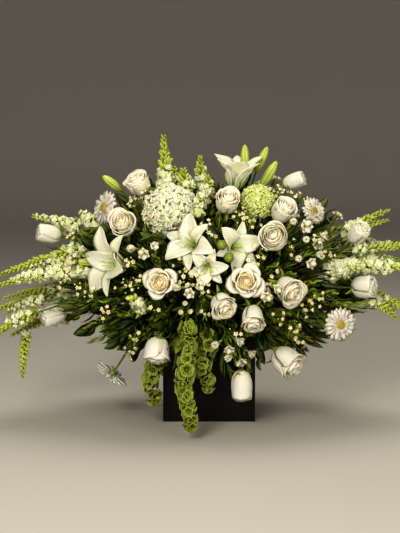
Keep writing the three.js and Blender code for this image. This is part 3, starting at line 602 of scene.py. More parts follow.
class Finish:
    """A material, with one method that adds a node to it."""

    def __init__(self, name, **fixed):
        self.material = bpy.data.materials.new(name)
        self.material.use_nodes = True
        self.tree = self.material.node_tree
        self.tree.nodes.clear()
        self.shader = self.tree.nodes.new("ShaderNodeBsdfPrincipled")
        output = self.tree.nodes.new("ShaderNodeOutputMaterial")
        self.tree.links.new(self.shader.outputs[0], output.inputs[0])
        for socket, value in fixed.items():
            self.shader.inputs[socket.replace("_", " ")].default_value = value

    def feed(self, socket, value):
        if isinstance(value, Link):
            self.tree.links.new(value.socket, socket)
        else:
            socket.default_value = value

    def node(self, kind, settings=None, values=None, output=0):
        node = self.tree.nodes.new(kind)
        for key, value in (settings or {}).items():
            setattr(node, key, value)
        for key, value in (values or {}).items():
            self.feed(node.inputs[key], value)
        return Link(self, node.outputs[output])

    def band(self, value, low, high):
        """0 under low, 1 over high and smooth between them."""
        settings = {"interpolation_type": "SMOOTHSTEP"}
        return self.node("ShaderNodeMapRange", settings, {0: value, 1: low, 2: high})

    def blend(self, share, a, b):
        return self.node("ShaderNodeMix", {"data_type": "RGBA"}, {0: share, 6: a, 7: b}, 2)

    def mark(self, name):
        return self.node("ShaderNodeAttribute", {"attribute_name": name}, output="Fac")

    def noise(self, scale, detail=2.0, place=None):
        place = place or self.node("ShaderNodeTexCoord", output="Object")
        return self.node("ShaderNodeTexNoise", None, {"Vector": place, "Scale": scale, "Detail": detail})

    def veins(self, across_scale, along_scale):
        """Fine lines that run along a petal or leaf."""
        x, y = self.mark("across") * across_scale, self.mark("along") * along_scale
        place = self.node("ShaderNodeCombineXYZ", None, {0: x, 1: y, 2: self.mark("tone") * 9.0})
        return self.noise(1.0, 2.0, place)

    def surface(self, base, roughness, height=None, strength=0.3, distance=0.0006):
        self.feed(self.shader.inputs["Base Color"], base)
        self.feed(self.shader.inputs["Roughness"], roughness)
        if height is not None:
            values = {"Strength": strength, "Distance": distance, "Height": height}
            self.feed(self.shader.inputs["Normal"], self.node("ShaderNodeBump", None, values))
        return self.material


def ink(red, green, blue):
    return (red, green, blue, 1.0)


PETAL_LOOK = {"Subsurface_Weight": 0.5, "Subsurface_Scale": 0.012, "Subsurface_Radius": (1.0, 0.85, 0.5)}


def rose_finish():
    f = Finish("rose petal", **PETAL_LOOK)
    along, heart = f.mark("along"), f.mark("tone")
    veins = f.veins(14.0, 2.0)
    petal = f.blend(f.band(heart, 0.15, 1.0), colours().rose, colours().rose_heart)
    base = f.blend((1.0 - f.band(along, 0.0, 0.75)) * 0.7, petal, ink(0.84, 0.74, 0.42))
    tinted = f.blend(veins * 0.16, base, ink(0.86, 0.76, 0.48))
    return f.surface(tinted, veins * 0.15 + 0.5, veins, 0.25)


def lily_finish():
    f = Finish("lily petal", **PETAL_LOOK)
    along, across = f.mark("along"), abs(f.mark("across"))
    veins = f.veins(12.0, 1.5)
    throat = 1.0 - f.band(along, 0.04, 0.42)
    rib = (1.0 - f.band(across, 0.02, 0.2)) * (1.0 - f.band(along, 0.3, 0.95))
    base = f.blend(rib * 0.6, colours().lily, ink(0.60, 0.70, 0.28))
    green = f.blend(throat * 0.9, base, ink(0.34, 0.48, 0.07))
    # Near black at the very foot of the tepals, over the green throat: painted shade deep in the middle of
    # the flower.
    deep = f.blend((1.0 - f.band(along, 0.03, 0.16)) * 0.8, green, ink(0.09, 0.12, 0.02))
    tinted = f.blend(veins * 0.25, deep, ink(0.74, 0.74, 0.52))
    return f.surface(tinted, veins * 0.15 + 0.42, veins + rib * 1.2, 0.6, 0.0012)


def gerbera_finish():
    f = Finish("gerbera ray", **PETAL_LOOK)
    along = f.mark("along")
    grooves = f.veins(7.0, 0.6)
    base = f.blend(1.0 - f.band(along, 0.0, 0.4), colours().gerbera, ink(0.78, 0.74, 0.46))
    shade = f.blend(grooves * 0.2, base, ink(0.74, 0.70, 0.58))
    return f.surface(shade, grooves * 0.1 + 0.55, grooves, 0.5)


def hydrangea_finish(name, petal, young):
    f = Finish(name, **PETAL_LOOK)
    along, tone = f.mark("along"), f.mark("tone")
    spread = f.noise(38.0, 1.0)
    base = f.blend(f.band(tone * 0.6 + spread * 0.6, 0.5, 1.05), petal, young)
    inner = f.blend(1.0 - f.band(along, 0.06, 0.3), base, ink(0.50, 0.55, 0.22))
    eye = f.blend(f.band(along, 0.8, 0.97), inner, ink(0.44, 0.50, 0.22))
    veins = f.noise(900.0, 1.0)
    return f.surface(eye, 0.6, veins, 0.15)


def white_hydrangea_finish():
    return hydrangea_finish("white hydrangea", colours().hydrangea, ink(0.70, 0.76, 0.42))


def green_hydrangea_finish():
    return hydrangea_finish("green hydrangea", ink(0.64, 0.69, 0.28), ink(0.42, 0.51, 0.10))


def floret_finish():
    f = Finish("snapdragon floret", **PETAL_LOOK)
    along, tone = f.mark("along"), f.mark("tone")
    base = f.blend(1.0 - f.band(along, 0.08, 0.42), colours().floret, ink(0.52, 0.64, 0.22))
    shade = f.blend(f.band(tone, 0.55, 1.0) * 0.7, base, ink(0.58, 0.68, 0.28))
    veins = f.noise(700.0, 1.0)
    return f.surface(shade, 0.6, veins, 0.2)


def spike_bud_finish():
    f = Finish("snapdragon bud", Subsurface_Weight=0.1, Subsurface_Scale=0.003)
    shade = f.blend(f.mark("tone"), ink(0.26, 0.34, 0.025), ink(0.56, 0.60, 0.16))
    grain = f.noise(500.0)
    return f.surface(f.blend(grain * 0.3, shade, ink(0.32, 0.40, 0.06)), 0.6, grain, 0.3)


def lily_bud_finish():
    f = Finish("lily bud", Subsurface_Weight=0.15, Subsurface_Scale=0.004)
    across, along = f.mark("across"), f.mark("along")
    seam = f.band((across * (3.0 * math.pi)).wave("COSINE"), 0.90, 1.0)
    green = f.blend(f.band(along, 0.15, 0.9), ink(0.26, 0.38, 0.04), ink(0.42, 0.50, 0.08))
    pale = f.blend(f.mark("tone") * 0.7, green, ink(0.62, 0.66, 0.26))
    # The sunk seams are drawn dark green: partly the seam's own colour, partly painted shade in its groove.
    shade = f.blend(seam * 0.8, pale, ink(0.13, 0.20, 0.015))
    return f.surface(shade, f.noise(300.0) * 0.15 + 0.38, seam * -1.0 + f.noise(500.0) * 0.3, 0.4)


def bells_finish():
    f = Finish("bell cup", Subsurface_Weight=0.15, Subsurface_Scale=0.004)
    along, across = f.mark("along"), f.mark("across")
    vein = f.band((across * (10.0 * math.pi)).wave("COSINE"), 0.8, 1.0)
    net = f.noise(420.0, 2.0)
    # Each cup darkens to near black towards its foot: painted shade in the hollow of the cup.
    green = f.blend(f.band(along, 0.1, 0.9), ink(0.06, 0.09, 0.007), colours().bells)
    veined = f.blend(vein * 0.5 + net * 0.25, green, ink(0.32, 0.38, 0.06))
    rim = f.blend(f.band(along, 0.88, 1.0) * 0.8, veined, ink(0.48, 0.54, 0.18))
    return f.surface(rim, net * 0.15 + 0.5, vein + net, 0.4)


def leaf_finish():
    f = Finish("dark leaf", Specular_IOR_Level=0.45)
    along, across, tone = f.mark("along"), abs(f.mark("across")), f.mark("tone")
    rib = 1.0 - f.band(across, 0.03, 0.12)
    side = f.band((along * 60.0 + across * -14.0).wave("SINE"), 0.6, 1.0) * 0.5
    patch = f.noise(30.0, 2.0)
    green = f.blend(f.band(tone * 0.8 + patch * 0.4, 0.2, 1.1), colours().leaf_dark, colours().leaf_light)
    shade = f.blend(rib * 0.55 + side * 0.22, green, ink(0.17, 0.23, 0.045))
    return f.surface(shade, patch * 0.2 + 0.32, rib * -1.0 + side * -0.4 + patch * 0.3, 0.5, 0.0008)


def young_leaf_finish():
    f = Finish("young leaf", Specular_IOR_Level=0.4)
    across, tone = abs(f.mark("across")), f.mark("tone")
    rib = 1.0 - f.band(across, 0.03, 0.15)
    grain = f.noise(160.0, 2.0)
    green = f.blend(tone, ink(0.07, 0.11, 0.008), ink(0.30, 0.36, 0.04))
    shade = f.blend(rib * 0.4 + grain * 0.2, green, ink(0.38, 0.44, 0.10))
    return f.surface(shade, grain * 0.2 + 0.42, grain - rib, 0.4)


def stem_finish():
    f = Finish("stem", Specular_IOR_Level=0.4)
    patch, grain = f.noise(24.0, 2.0), f.noise(420.0, 2.0)
    shade = f.blend(patch, ink(0.05, 0.10, 0.02), colours().stem)
    return f.surface(f.blend(grain * 0.3, shade, ink(0.20, 0.26, 0.09)), grain * 0.2 + 0.45, grain, 0.4)


def wax_finish():
    f = Finish("waxflower", **PETAL_LOOK)
    along, tone = f.mark("along"), f.mark("tone")
    petal = f.blend(tone, ink(0.86, 0.79, 0.52), ink(0.62, 0.52, 0.22))
    eye = f.blend(f.band(along, 0.7, 0.95), petal, ink(0.56, 0.38, 0.06))
    root = f.blend(1.0 - f.band(along, 0.1, 0.35), eye, ink(0.34, 0.36, 0.10))
    return f.surface(root, 0.5, f.noise(900.0, 1.0), 0.2)


def alstroemeria_finish():
    f = Finish("alstroemeria petal", **PETAL_LOOK)
    along, tone = f.mark("along"), f.mark("tone")
    base = f.blend(tone, ink(0.90, 0.86, 0.68), ink(0.82, 0.74, 0.46))
    green = f.blend(1.0 - f.band(along, 0.1, 0.55), base, ink(0.52, 0.58, 0.12))
    veins = f.veins(8.0, 1.0)
    return f.surface(f.blend(veins * 0.2, green, ink(0.76, 0.68, 0.40)), 0.5, veins, 0.3)


def disc_finish():
    f = Finish("flower middle")
    tone, grain = f.mark("tone"), f.noise(1400.0, 1.0)
    shade = f.blend(tone, ink(0.44, 0.36, 0.05), ink(0.74, 0.58, 0.24))
    return f.surface(f.blend(grain * 0.4, shade, ink(0.38, 0.26, 0.04)), 0.7, grain, 0.5)


def stamen_finish():
    f = Finish("stamen")
    grain = f.noise(1200.0, 1.0)
    shade = f.blend(f.mark("tone"), ink(0.50, 0.62, 0.20), ink(0.36, 0.17, 0.03))
    return f.surface(f.blend(grain * 0.3, shade, ink(0.62, 0.55, 0.20)), 0.55, grain, 0.3)


def vase_finish():
    f = Finish("vase", Specular_IOR_Level=0.3)
    smear, dust = f.noise(9.0, 3.0), f.noise(260.0, 3.0)
    shade = f.blend(f.band(dust, 0.62, 0.8) * 0.06, colours().vase, ink(0.04, 0.038, 0.035))
    return f.surface(shade, smear * 0.16 + 0.26, smear * 0.6 + dust * 0.2, 0.05)


def foam_finish():
    f = Finish("wet foam")
    grain, wet = f.noise(1500.0, 2.0), f.noise(22.0, 2.0)
    shade = f.blend(wet, ink(0.012, 0.040, 0.014), ink(0.035, 0.095, 0.035))
    return f.surface(f.blend(grain * 0.5, shade, ink(0.05, 0.12, 0.05)), wet * 0.3 + 0.6, grain, 0.7)


FINISH_MAKERS = {
    "rose": rose_finish,
    "lily": lily_finish,
    "gerbera": gerbera_finish,
    "hydrangea": white_hydrangea_finish,
    "green_hydrangea": green_hydrangea_finish,
    "floret": floret_finish,
    "spike_bud": spike_bud_finish,
    "lily_bud": lily_bud_finish,
    "bells": bells_finish,
    "leaf": leaf_finish,
    "young_leaf": young_leaf_finish,
    "stem": stem_finish,
    "wax": wax_finish,
    "alstroemeria": alstroemeria_finish,
    "disc": disc_finish,
    "stamen": stamen_finish,
    "vase": vase_finish,
    "foam": foam_finish,
}
FINISHES = list(FINISH_MAKERS)
made_finishes = {}


def finish_named(name):
    if name not in made_finishes:
        made_finishes[name] = FINISH_MAKERS[name]()
    return made_finishes[name]


# Small shapes and directions that several flowers share


def outward(turn):
    """The level direction at a turn about Z from the front."""
    return Vector((math.sin(turn), -math.cos(turn), 0))


def raised(out, rise):
    """A level direction, raised by an angle"""
    return out * math.cos(rise) + UP * math.sin(rise)


def scaled(rings, size):
    return [(radius * size, height * size) for radius, height in rings]


def spindle(width, length, finish, sides, widest):
    rings = [(0, 0), (width / 2, widest * length), (0.36 * width, 0.8 * length), (0, length)]
    return turned(sides, rings, finish)


def lobes(count, notch, ruffle=0.0, sink=0.0):
    """A rule that cuts a turned form's rim into rounded lobes, with a point of the rim in each
    cleft, and that sinks the clefts and twists the lobes."""

    def rule(radius, angle, height):
        outer = smooth(0.35, 0.9, radius / radius.max())
        dip = (0.5 + 0.5 * np.cos(count * (angle - math.pi))) ** 1.7 * outer
        wave = (np.sin(count * (angle - math.pi)) + np.sin(2 * angle + 1)) * 0.6 * ruffle * outer
        return radius * (1 - notch * dip), height + wave - sink * dip

    return rule


def blade(length, width, widest, curl, fold, finish, rows, columns=2, wave=0.0, tip=0.8):
    """A leaf that grows along +Z and curls towards -Y, folded along its rib. widest is the share of
    its length where it is widest."""
    line = curled(length, [-curl / 3, curl])
    skew = math.log(0.5) / math.log(widest)

    def rule(across, along):
        out, up, angle = line(along)
        half = width / 2 * np.clip(np.sin(np.pi * np.clip(along, 0, 1) ** skew), 0, 1) ** tip
        half = half + 0.0004 * (1 - along)
        lift = fold * np.abs(across) * half + wave * np.sin(9 * along + 2 * across) * np.abs(across)
        out, up = lift * np.cos(angle) - out, lift * np.sin(angle) + up
        return np.stack([across * half, out, up], axis=1)

    return sheet(columns, rows, rule, LEAF_THICK, finish)


# Roses


def rose_petal(radius, height, share, opened, phase):
    """A petal by its share of the way from the heart of a rose to its outside."""
    reach = radius * mix(0.10, mix(1.0, 0.74, opened), share**0.85)
    heart = min(1.0, share / 0.3)
    rise = mix(mix(0.92, 0.84, opened), 1.0, heart)
    drop = mix(0.02, 0.3, opened) * max(0.0, share - 0.4) / 0.6
    top = height * (rise - drop)
    waist = mix(0.84, mix(0.94, 0.86, opened), share)
    lip = mix(0.5, mix(0.72, 1.22, opened**0.6), share**0.8)
    profile = [
        (0.1 * radius, 0.0),
        (0.95 * reach, 0.0),
        (mix(1.2, mix(1.2, 0.92, opened), share) * reach, 0.42 * top),
        (waist * reach, 0.82 * top),
        (lip * reach, top),
    ]
    wrap = math.radians(mix(150, mix(84, 56, opened), min(1.0, share / 0.55)))
    roll = radius * mix(0.06, 0.2, opened**0.7) * smooth(0.2, 0.8, share)

    def rule(across, along):
        side = np.abs(across)
        shorter = mix(0.26, 0.3, opened) * side**4 - 0.04 * np.exp(-((across / 0.16) ** 2)) * share
        line = bezier(profile, along * (1 - shorter))
        curl = smooth(0.76, 1.0, along * (1 - 0.5 * shorter)) * (0.7 + 0.3 * np.cos(2.2 * across + phase))
        tuck = mix(0.22, 0.12, share) * (0.4 - across**2) + mix(0.03, 0.07, opened) * across
        out = line[:, 0] * (1 + tuck) + roll * curl
        up = line[:, 1] - roll * 0.85 * curl**2
        wave = np.sin(5 * across + phase) * smooth(0.5, 1.0, along) * share
        out = out + 0.022 * radius * wave
        angle = across * wrap * mix(0.45, 1.0, smooth(0.0, 0.55, along)) + mix(0.7, 0.25, opened) * along
        return np.stack([out * np.sin(angle), -out * np.cos(angle), up], axis=1)

    return sheet(12 if share < 0.3 else 10, 9, rule, sizes().petal_thick, "rose")


def rose_form(size, dice):
    width, height, opened = size["width"], size["height"], size["opened"]
    radius = width / 2
    rings = [(0, -0.004), (0.1 * width, 0.0), (0.16 * width, 0.006), (0, 0.010)]
    parts = [(turned(8, rings, "young_leaf"), Matrix(), 0.4)]
    sepal = blade(0.5 * width, 0.16 * width, 0.3, 0.9, 0.4, "young_leaf", rows=5)
    for k in range(5):
        turn = Matrix.Rotation(k * 2 * math.pi / 5, 4, "Z")
        lean = Matrix.Rotation(math.radians(dice.uniform(60, 115)), 4, "X")
        parts.append((sepal, turn @ Matrix.Translation((0, -0.1 * width, 0.002)) @ lean, 0.4))
    rings = [(0.1, 0.1), (0.9, 0.42), (0.8, 0.6), (0.5, 0.74), (0.22, 0.8), (0.1, 0.88), (0, 0.89)]
    full = radius * mix(0.8, 0.6, opened)
    heart = turned(12, [(r * full, z * height) for r, z in rings], "rose")
    parts.append((heart, Matrix(), 0.8 * opened))
    turn = dice.uniform(0, 2 * math.pi)
    count = round(mix(15, 20, opened))
    for k in range(count):
        share = mix(0.12 * (1 - opened), 1.0, k / (count - 1))
        petal = rose_petal(radius, height, share, opened, dice.uniform(0, 6))
        lean = dice.normal(0, 0.02) + 0.10 * opened * smooth(0.6, 1.0, share) * dice.uniform(0, 1)
        around = Matrix.Rotation(turn + k * GOLDEN_TURN, 4, "Z")
        place = around @ Matrix.Rotation(float(lean), 4, "X")
        heart = (1 - share) ** 1.4 * mix(0.2, 1.0, opened)
        parts.append((petal, place, heart + dice.uniform(-0.04, 0.04)))
    return gathered(parts)


# Lilies


def tepal(length, width, flare, narrow, phase):
    bends = [10, flare * 0.45, flare, flare * 1.22]
    line = curled(length, [math.radians(bend) for bend in bends])

    def rule(across, along):
        out, up, angle = line(along)
        shape = np.sin(np.pi * np.clip(along, 0, 1) ** 0.88) ** 0.78
        half = width / 2 * (shape + 0.28 * (1 - np.clip(along, 0, 1)) ** 1.5) + 0.0002
        channel = half * (0.42 * np.abs(across) ** 1.6 - 0.1)
        ruffle = 0.1 * width * np.sin(11 * along + 2 * across + phase) * np.abs(across) ** 3 * (1 - narrow)
        lift = channel + ruffle * np.sin(np.pi * np.clip(along, 0, 1)) + (-0.0004 if narrow else 0.0012)
        out = 0.003 + out - lift * np.cos(angle)
        up = 0.001 + up + lift * np.sin(angle)
        return np.stack([across * half, -out, up], axis=1)

    return sheet(8, 16, rule, sizes().petal_thick * 1.3, "lily")


def lily_form(size, dice):
    length, flare = size["length"], size["flare"]
    foot = turned(6, [(0, -0.006), (0.003, -0.004), (0.0052, 0.003), (0, 0.009)], "young_leaf")
    parts = [(foot, Matrix(), 0.8)]
    for k in range(6):
        narrow = k % 2
        width = length * (0.35 if narrow else 0.52)
        leaf = tepal(length * (0.97 if narrow else 1.0), width, flare, narrow, dice.uniform(0, 6))
        turn = Matrix.Rotation(k * math.pi / 3 + dice.normal(0, 0.05), 4, "Z")
        parts.append((leaf, turn @ Matrix.Rotation(dice.normal(0, 0.06), 4, "X"), dice.uniform(0, 1)))
    tip = spindle(0.0022, 0.004, "stamen", sides=5, widest=0.5)
    spread = math.radians(min(flare, 60) * 0.36)
    for k in range(6):
        line = curled(0.46 * length, [0.05, spread * 0.7, spread * 1.3])
        out, up, _ = line(np.linspace(0, 1, 6))
        turn = k * math.pi / 3 + 0.5
        x, y = math.sin(turn), -math.cos(turn)
        points = [(x * (o + 0.002), y * (o + 0.002), u + 0.004) for o, u in zip(out, up)]
        parts.append((tube(points, 0.0008, "stamen", 0.6), Matrix(), 0.0))
        parts.append((tip, Matrix.Translation(Vector(points[-1]) - UP * 0.001), 0.15))
    style = [(0, 0, 0.004), (0.001, 0, 0.3 * length), (0.003, 0, 0.6 * length)]
    parts.append((tube(style, 0.0013, "stamen"), Matrix(), 0.0))
    stigma = turned(6, [(0, 0), (0.003, 0.002), (0.0026, 0.0035), (0, 0.0042)], "stamen", lobes(3, 0.3))
    parts.append((stigma, Matrix.Translation(style[-1]), 0.05))
    return gathered(parts)


# Gerberas


def ray(start, end, half, droop, lift):
    def rule(across, along):
        width = half * mix(0.35, 1.0, smooth(0, 0.55, along)) * (1 - 0.4 * smooth(0.72, 1.0, along))
        out = mix(start, end, along)
        out = out - 0.1 * (end - start) * across**2 * smooth(0.6, 1.0, along)
        up = lift * along - droop * along**2 + 0.2 * width * across**2
        return np.stack([across * width, -out, up], axis=1)

    return sheet(3, 5, rule, 0.0006, "gerbera")


# The rows of a gerbera's rays, from the outside in: how many, where they start and end and half
# their width as shares of the radius, then the height of their row, their droop and their lift.
RAY_ROWS = [
    (20, 0.14, 1.0, 0.150, 0.0035, 0.0022, 0.004),
    (19, 0.14, 0.93, 0.140, 0.0075, 0.002, 0.0025),
    (24, 0.2, 0.52, 0.052, 0.007, 0.0, 0.004),
    (22, 0.2, 0.42, 0.036, 0.0085, 0.0, 0.005),
]
MIDDLE_BUDS = 90


def gerbera_form(size, dice):
    radius = size["width"] / 2
    cup = [(0, -0.006), (0.004, -0.005), (0.2 * radius, 0.0), (0.22 * radius, 0.004), (0, 0.005)]
    parts = [(turned(10, cup, "young_leaf"), Matrix(), 0.3)]
    for count, start, end, half, height, droop, lift in RAY_ROWS:
        petal = ray(start * radius, end * radius, half * radius, droop, lift)
        for k in range(count):
            turn = Matrix.Rotation((k + dice.normal(0, 0.08)) * 2 * math.pi / count, 4, "Z")
            tilt = Matrix.Rotation(-dice.normal(0.0, 0.055), 4, "X")
            shrink = Matrix.Scale(dice.uniform(0.93, 1.0), 4)
            place = turn @ Matrix.Translation((0, 0, height - 0.003)) @ tilt @ shrink
            parts.append((petal, place, dice.uniform(0, 1)))
    rings = [(0, 0.001), (0.24, 0.003), (0.22, 0.0075), (0.12, 0.009), (0, 0.0088)]
    heart = turned(12, [(r * radius, z) for r, z in rings], "disc")
    parts.append((heart, Matrix(), 0.2))
    bud = turned(4, [(0, 0), (0.0007, 0.0008), (0, 0.0022)], "disc")
    for k in range(MIDDLE_BUDS):
        share = math.sqrt((k + 0.5) / MIDDLE_BUDS)
        point = outward(k * GOLDEN_TURN) * share * 0.23 * radius
        point.z = 0.0088 - 0.0016 * share**3
        direction = Vector((point.x * 20, point.y * 20, 1)).normalized()
        parts.append((bud, spot(point, direction), mix(0.0, 0.8, share**3)))
    return gathered(parts)


# Hydrangeas


def hydrangea_form(size, dice):
    radius, slot = size["width"] / 2, size["slot"]
    middle = Vector((0, 0, 0.96 * radius))
    reach = HYDRANGEA_FLORETS[slot]
    rings = scaled([(0, -0.7), (0.12, -0.4), (1.0, 0.22), (0.6, 0.26), (0.16, 0.1), (0, 0.15)], reach)
    rules = [lobes(4, notch, 0.1 * reach, 0.12 * reach) for notch in (0.42, 0.5, 0.46)]
    florets = [turned(12, rings, slot, rule) for rule in rules]
    stalk = turned(6, [(0, 0), (0.003, 0), (0.004, 0.3 * radius), (0, 0.35 * radius)], "stem")
    rings = scaled([(0, -0.7), (0.62, -0.52), (0.89, 0), (0.64, 0.6), (0, 0.9)], radius)
    core = turned(12, rings, slot)
    parts = [(core, Matrix.Translation(middle), 0.4), (stalk, Matrix(), 0.5)]
    count = int(HYDRANGEA_COVER * (radius / reach) ** 2)
    for k in range(count):
        up = 1 - 1.74 * (k + 0.5) / count
        turn = k * GOLDEN_TURN + dice.normal(0, 0.1)
        flat = math.sqrt(1 - up * up)
        normal = Vector((math.sin(turn) * flat, -math.cos(turn) * flat, up))
        lump = 0.94 + 0.045 * math.sin(4 * turn + 3 * up) * flat
        point = middle + normal * radius * (lump + dice.normal(0, 0.022))
        jitter = Vector(dice.normal(0, 0.3, 3))
        place = spot(point, (normal + jitter).normalized(), dice.uniform(0, 3), dice.uniform(0.8, 1.12))
        parts.append((florets[k % 3], place, dice.uniform(0, 1)))
    return gathered(parts)


# Snapdragons, stock and bells


def snapdragon_form(size, dice):
    """A snapdragon spike, arched a little upwards: bare at its foot, then in flower, then in bud."""
    length, radius = size["length"], size["width"] / 2
    bloom, bare = size.get("bloom", 0.0), size.get("bare", 0.0)
    throat = scaled([(0, 0), (0.14, 0.08), (0.26, 0.46), (0.68, 0.82), (0.34, 0.7), (0, 0.6)], radius)
    lip = scaled([(0, 0.6), (0.2, 0.66), (0.5, 0.98), (0.24, 0.82), (0, 0.78)], radius)
    flowers = []
    for notch, ruffle in [(0.34, 0.1), (0.42, 0.06), (0.38, 0.14)]:
        outer = turned(20, throat, "floret", lobes(5, notch, ruffle * radius, 0.14 * radius))
        inner = turned(9, lip, "floret", lobes(3, 0.3, ruffle * radius, 0.1 * radius))
        flowers.append(gathered([(outer, Matrix()), (inner, Matrix())]))
    bud = turned(6, scaled([(0, 0), (0.2, 0.2), (0.23, 0.5), (0.14, 0.82), (0, 0.98)], radius), "spike_bud")
    bract = blade(0.75 * radius, 0.2 * radius, 0.4, 0.7, 0.3, "young_leaf", columns=1, rows=3)
    stem = tube([(0, 0, -0.002), (0, 0, 0.5 * length), (0, 0, 0.96 * length)], 0.0022, thin=0.4)
    parts = [(stem, Matrix())]
    count = int(length / FLORET_STEP)
    for k in range(count):
        share = (k + 0.4) / count
        grow = mix(1.12, 0.4, share**1.3)
        rise = math.radians(mix(12, 60, share) + dice.normal(0, 13))
        out = outward(k * GOLDEN_TURN)
        direction = raised(out, rise).normalized()
        point = out * 0.0018 + UP * share * (length - 0.3 * radius)
        # Every fourth floret stays in bud, so that the spike isn't too full.
        is_open = share + dice.normal(0, 0.08) < bloom and k % 4 < 3
        tone = dice.uniform(0, 1)
        if share > bare and is_open:
            place = spot(point, direction, dice.uniform(0, 6), grow * dice.uniform(0.75, 1.15))
            parts.append((flowers[k % 3], place, tone))
        elif share > bare:
            for side in (1, -1):
                way = Vector((side * direction.x, side * direction.y, direction.z + 0.3)).normalized()
                foot = Vector((side * point.x, side * point.y, point.z))
                place = spot(foot, way, 0, grow * dice.uniform(0.8, 1.15))
                parts.append((bud, place, mix(tone, 1 - share, 0.5)))
        if k % 2 == 0:
            low = raised(out, rise - 0.4).normalized()
            place = spot(point, low, dice.uniform(0, 6), grow * dice.uniform(0.8, 1.4))
            parts.append((bract, place, dice.uniform(0.3, 1)))
    form = gathered(parts)
    share = np.clip(form.points[:, 2] / length, 0, 1)[:, None]
    upward = np.array(facing(size["face"][0] + 180 + dice.normal(0, 25), 0))
    arch = length * size.get("arch", dice.uniform(0.01, 0.05))
    form.points = form.points + (upward * arch * np.sin(math.pi * share)).astype(np.float32)
    return form


def double_floret(size):
    """A double stock flower: three ruffled rows of petals"""
    parts = []
    for k, (reach, height) in enumerate([(1.0, 0.0), (0.76, 0.16), (0.48, 0.32)]):
        rings = [(0, -0.5), (0.2, -0.3), (1.0, 0.34), (0.5, 0.1), (0, 0.04)]
        rings = [(r * reach * size, z * reach * size) for r, z in rings]
        row = turned(16, rings, "floret", lobes(4, 0.34, 0.16 * size * reach, 0.2 * size * reach))
        parts.append((row, Matrix.Translation((0, 0, height * size)) @ Matrix.Rotation(k * 0.8, 4, "Z")))
    return gathered(parts)


def stock_form(size, dice):
    length, width = size["length"], size["width"]
    radius = width / 2
    floret = double_floret(STOCK_FLORET)
    leaf = blade(0.03, 0.009, 0.5, 0.6, 0.2, "young_leaf", rows=4)
    bud = spindle(0.009, 0.016, "spike_bud", 6, 0.4)
    parts = [(tube([(0, 0, -0.002), (0, 0, 0.9 * length)], 0.003), Matrix())]
    count = int(length * width / STOCK_FLORET_ROOM)
    for k in range(count):
        share = (k + 0.5) / count
        reach = radius * mix(1.0, 0.62, share**2)
        rise = math.radians(mix(-5, 75, share**1.6))
        out = outward(k * GOLDEN_TURN)
        direction = (raised(out, rise) + Vector(dice.normal(0, 0.42, 3))).normalized()
        deep = reach - 0.011 - abs(dice.normal(0, 0.005))
        point = out * deep * math.cos(rise) ** 0.5 + UP * (0.004 + share * (length - 0.012))
        form = bud if share + dice.normal(0, 0.16) > 0.8 else floret
        tone = dice.uniform(0, 0.6) + 0.8 * max(0, share - 0.4)
        parts.append((form, spot(point, direction, dice.uniform(0, 6), dice.uniform(0.7, 1.2)), tone))
    for k in range(6):
        direction = (outward(k * GOLDEN_TURN) + UP * 0.3).normalized()
        parts.append((leaf, spot((0, 0, 0.003), direction, dice.uniform(0, 6)), dice.uniform(0, 1)))
    return gathered(parts)


def bell_cup(rim):
    """A papery cup, by the radius of its rim"""
    rings = scaled([(0.12, 0.0), (0.3, 0.14), (0.4, 0.45), (0.62, 0.86), (0.98, 1.12), (1.16, 1.16)], rim)

    def angled(radius, angle, height):
        reach = smooth(0.4, 1.0, radius / rim)
        corner = reach * np.cos(5 * angle)
        return radius * (1 + 0.14 * corner), height - 0.16 * rim * corner

    cup = turned(15, rings, "bells", angled, thick=0.0005)
    nut = turned(4, [(0, 0.1), (0.2, 0.3), (0, 0.7)], "spike_bud")
    return gathered([(cup, Matrix()), (nut, Matrix.Scale(rim, 4), 1.0)])


def bells_form(size, dice):
    """A stem of bells that bends from side to side, with four cups and two leaves in each whorl."""
    length, width, rim = size["length"], size["width"], BELL_RIM
    cup = bell_cup(rim)
    leaf = blade(0.022, 0.013, 0.4, 0.8, 0.2, "young_leaf", rows=3)
    whorls = int(length / WHORL_STEP)
    reach = width / 2 - 1.1 * rim

    def middle(share):
        bend = 0.10 * width * math.sin(2.6 * share * math.pi)
        return Vector((bend, 0.4 * bend, share * (length - 0.012)))

    stem = [middle(k / 12) for k in range(13)]
    parts = [(tube(stem, 0.0021, thin=0.5), Matrix(), 0.8)]
    for w in range(whorls):
        share = (w + 0.3) / whorls
        grow = mix(1.0, 0.8, share**2)
        deep = max(0.002, (reach - 0.003) * grow - 1.27 * rim)
        for k in range(4):
            out = outward((k + 0.5 * (w % 2)) * math.pi / 2 + dice.normal(0, 0.25))
            rise = math.radians(mix(-4, 62, share**3) + dice.normal(0, mix(28, 10, share)))
            point = middle(share) + out * deep + UP * dice.normal(0, 0.003)
            place = spot(point, raised(out, rise), dice.uniform(0, 6), grow * dice.uniform(0.78, 1.2))
            parts.append((cup, place, dice.uniform(0, 1)))
        for turn in (2 * w, 2 * w + 2.6):
            out = Vector((math.sin(turn), -math.cos(turn), dice.uniform(-0.2, 0.6))).normalized()
            parts.append((leaf, spot(middle(share), out, dice.uniform(0, 6), grow), dice.uniform(0.5, 1)))
    return gathered(parts)


# The kinds of bloom: their table, the function that makes their form, and their slot
BLOOM_KINDS = {
    "rose": (ROSES, rose_form, "rose"),
    "gerbera": (GERBERAS, gerbera_form, "gerbera"),
    "lily": (LILIES, lily_form, "lily"),
    "hydrangea": (HYDRANGEAS, hydrangea_form, "hydrangea"),
    "stock": (STOCKS, stock_form, "spike"),
    "snapdragon": (SNAPDRAGONS, snapdragon_form, "spike"),
    "bells": (BELLS, bells_form, "bells"),
}


# The room that each bloom takes, so that greenery keeps clear of it


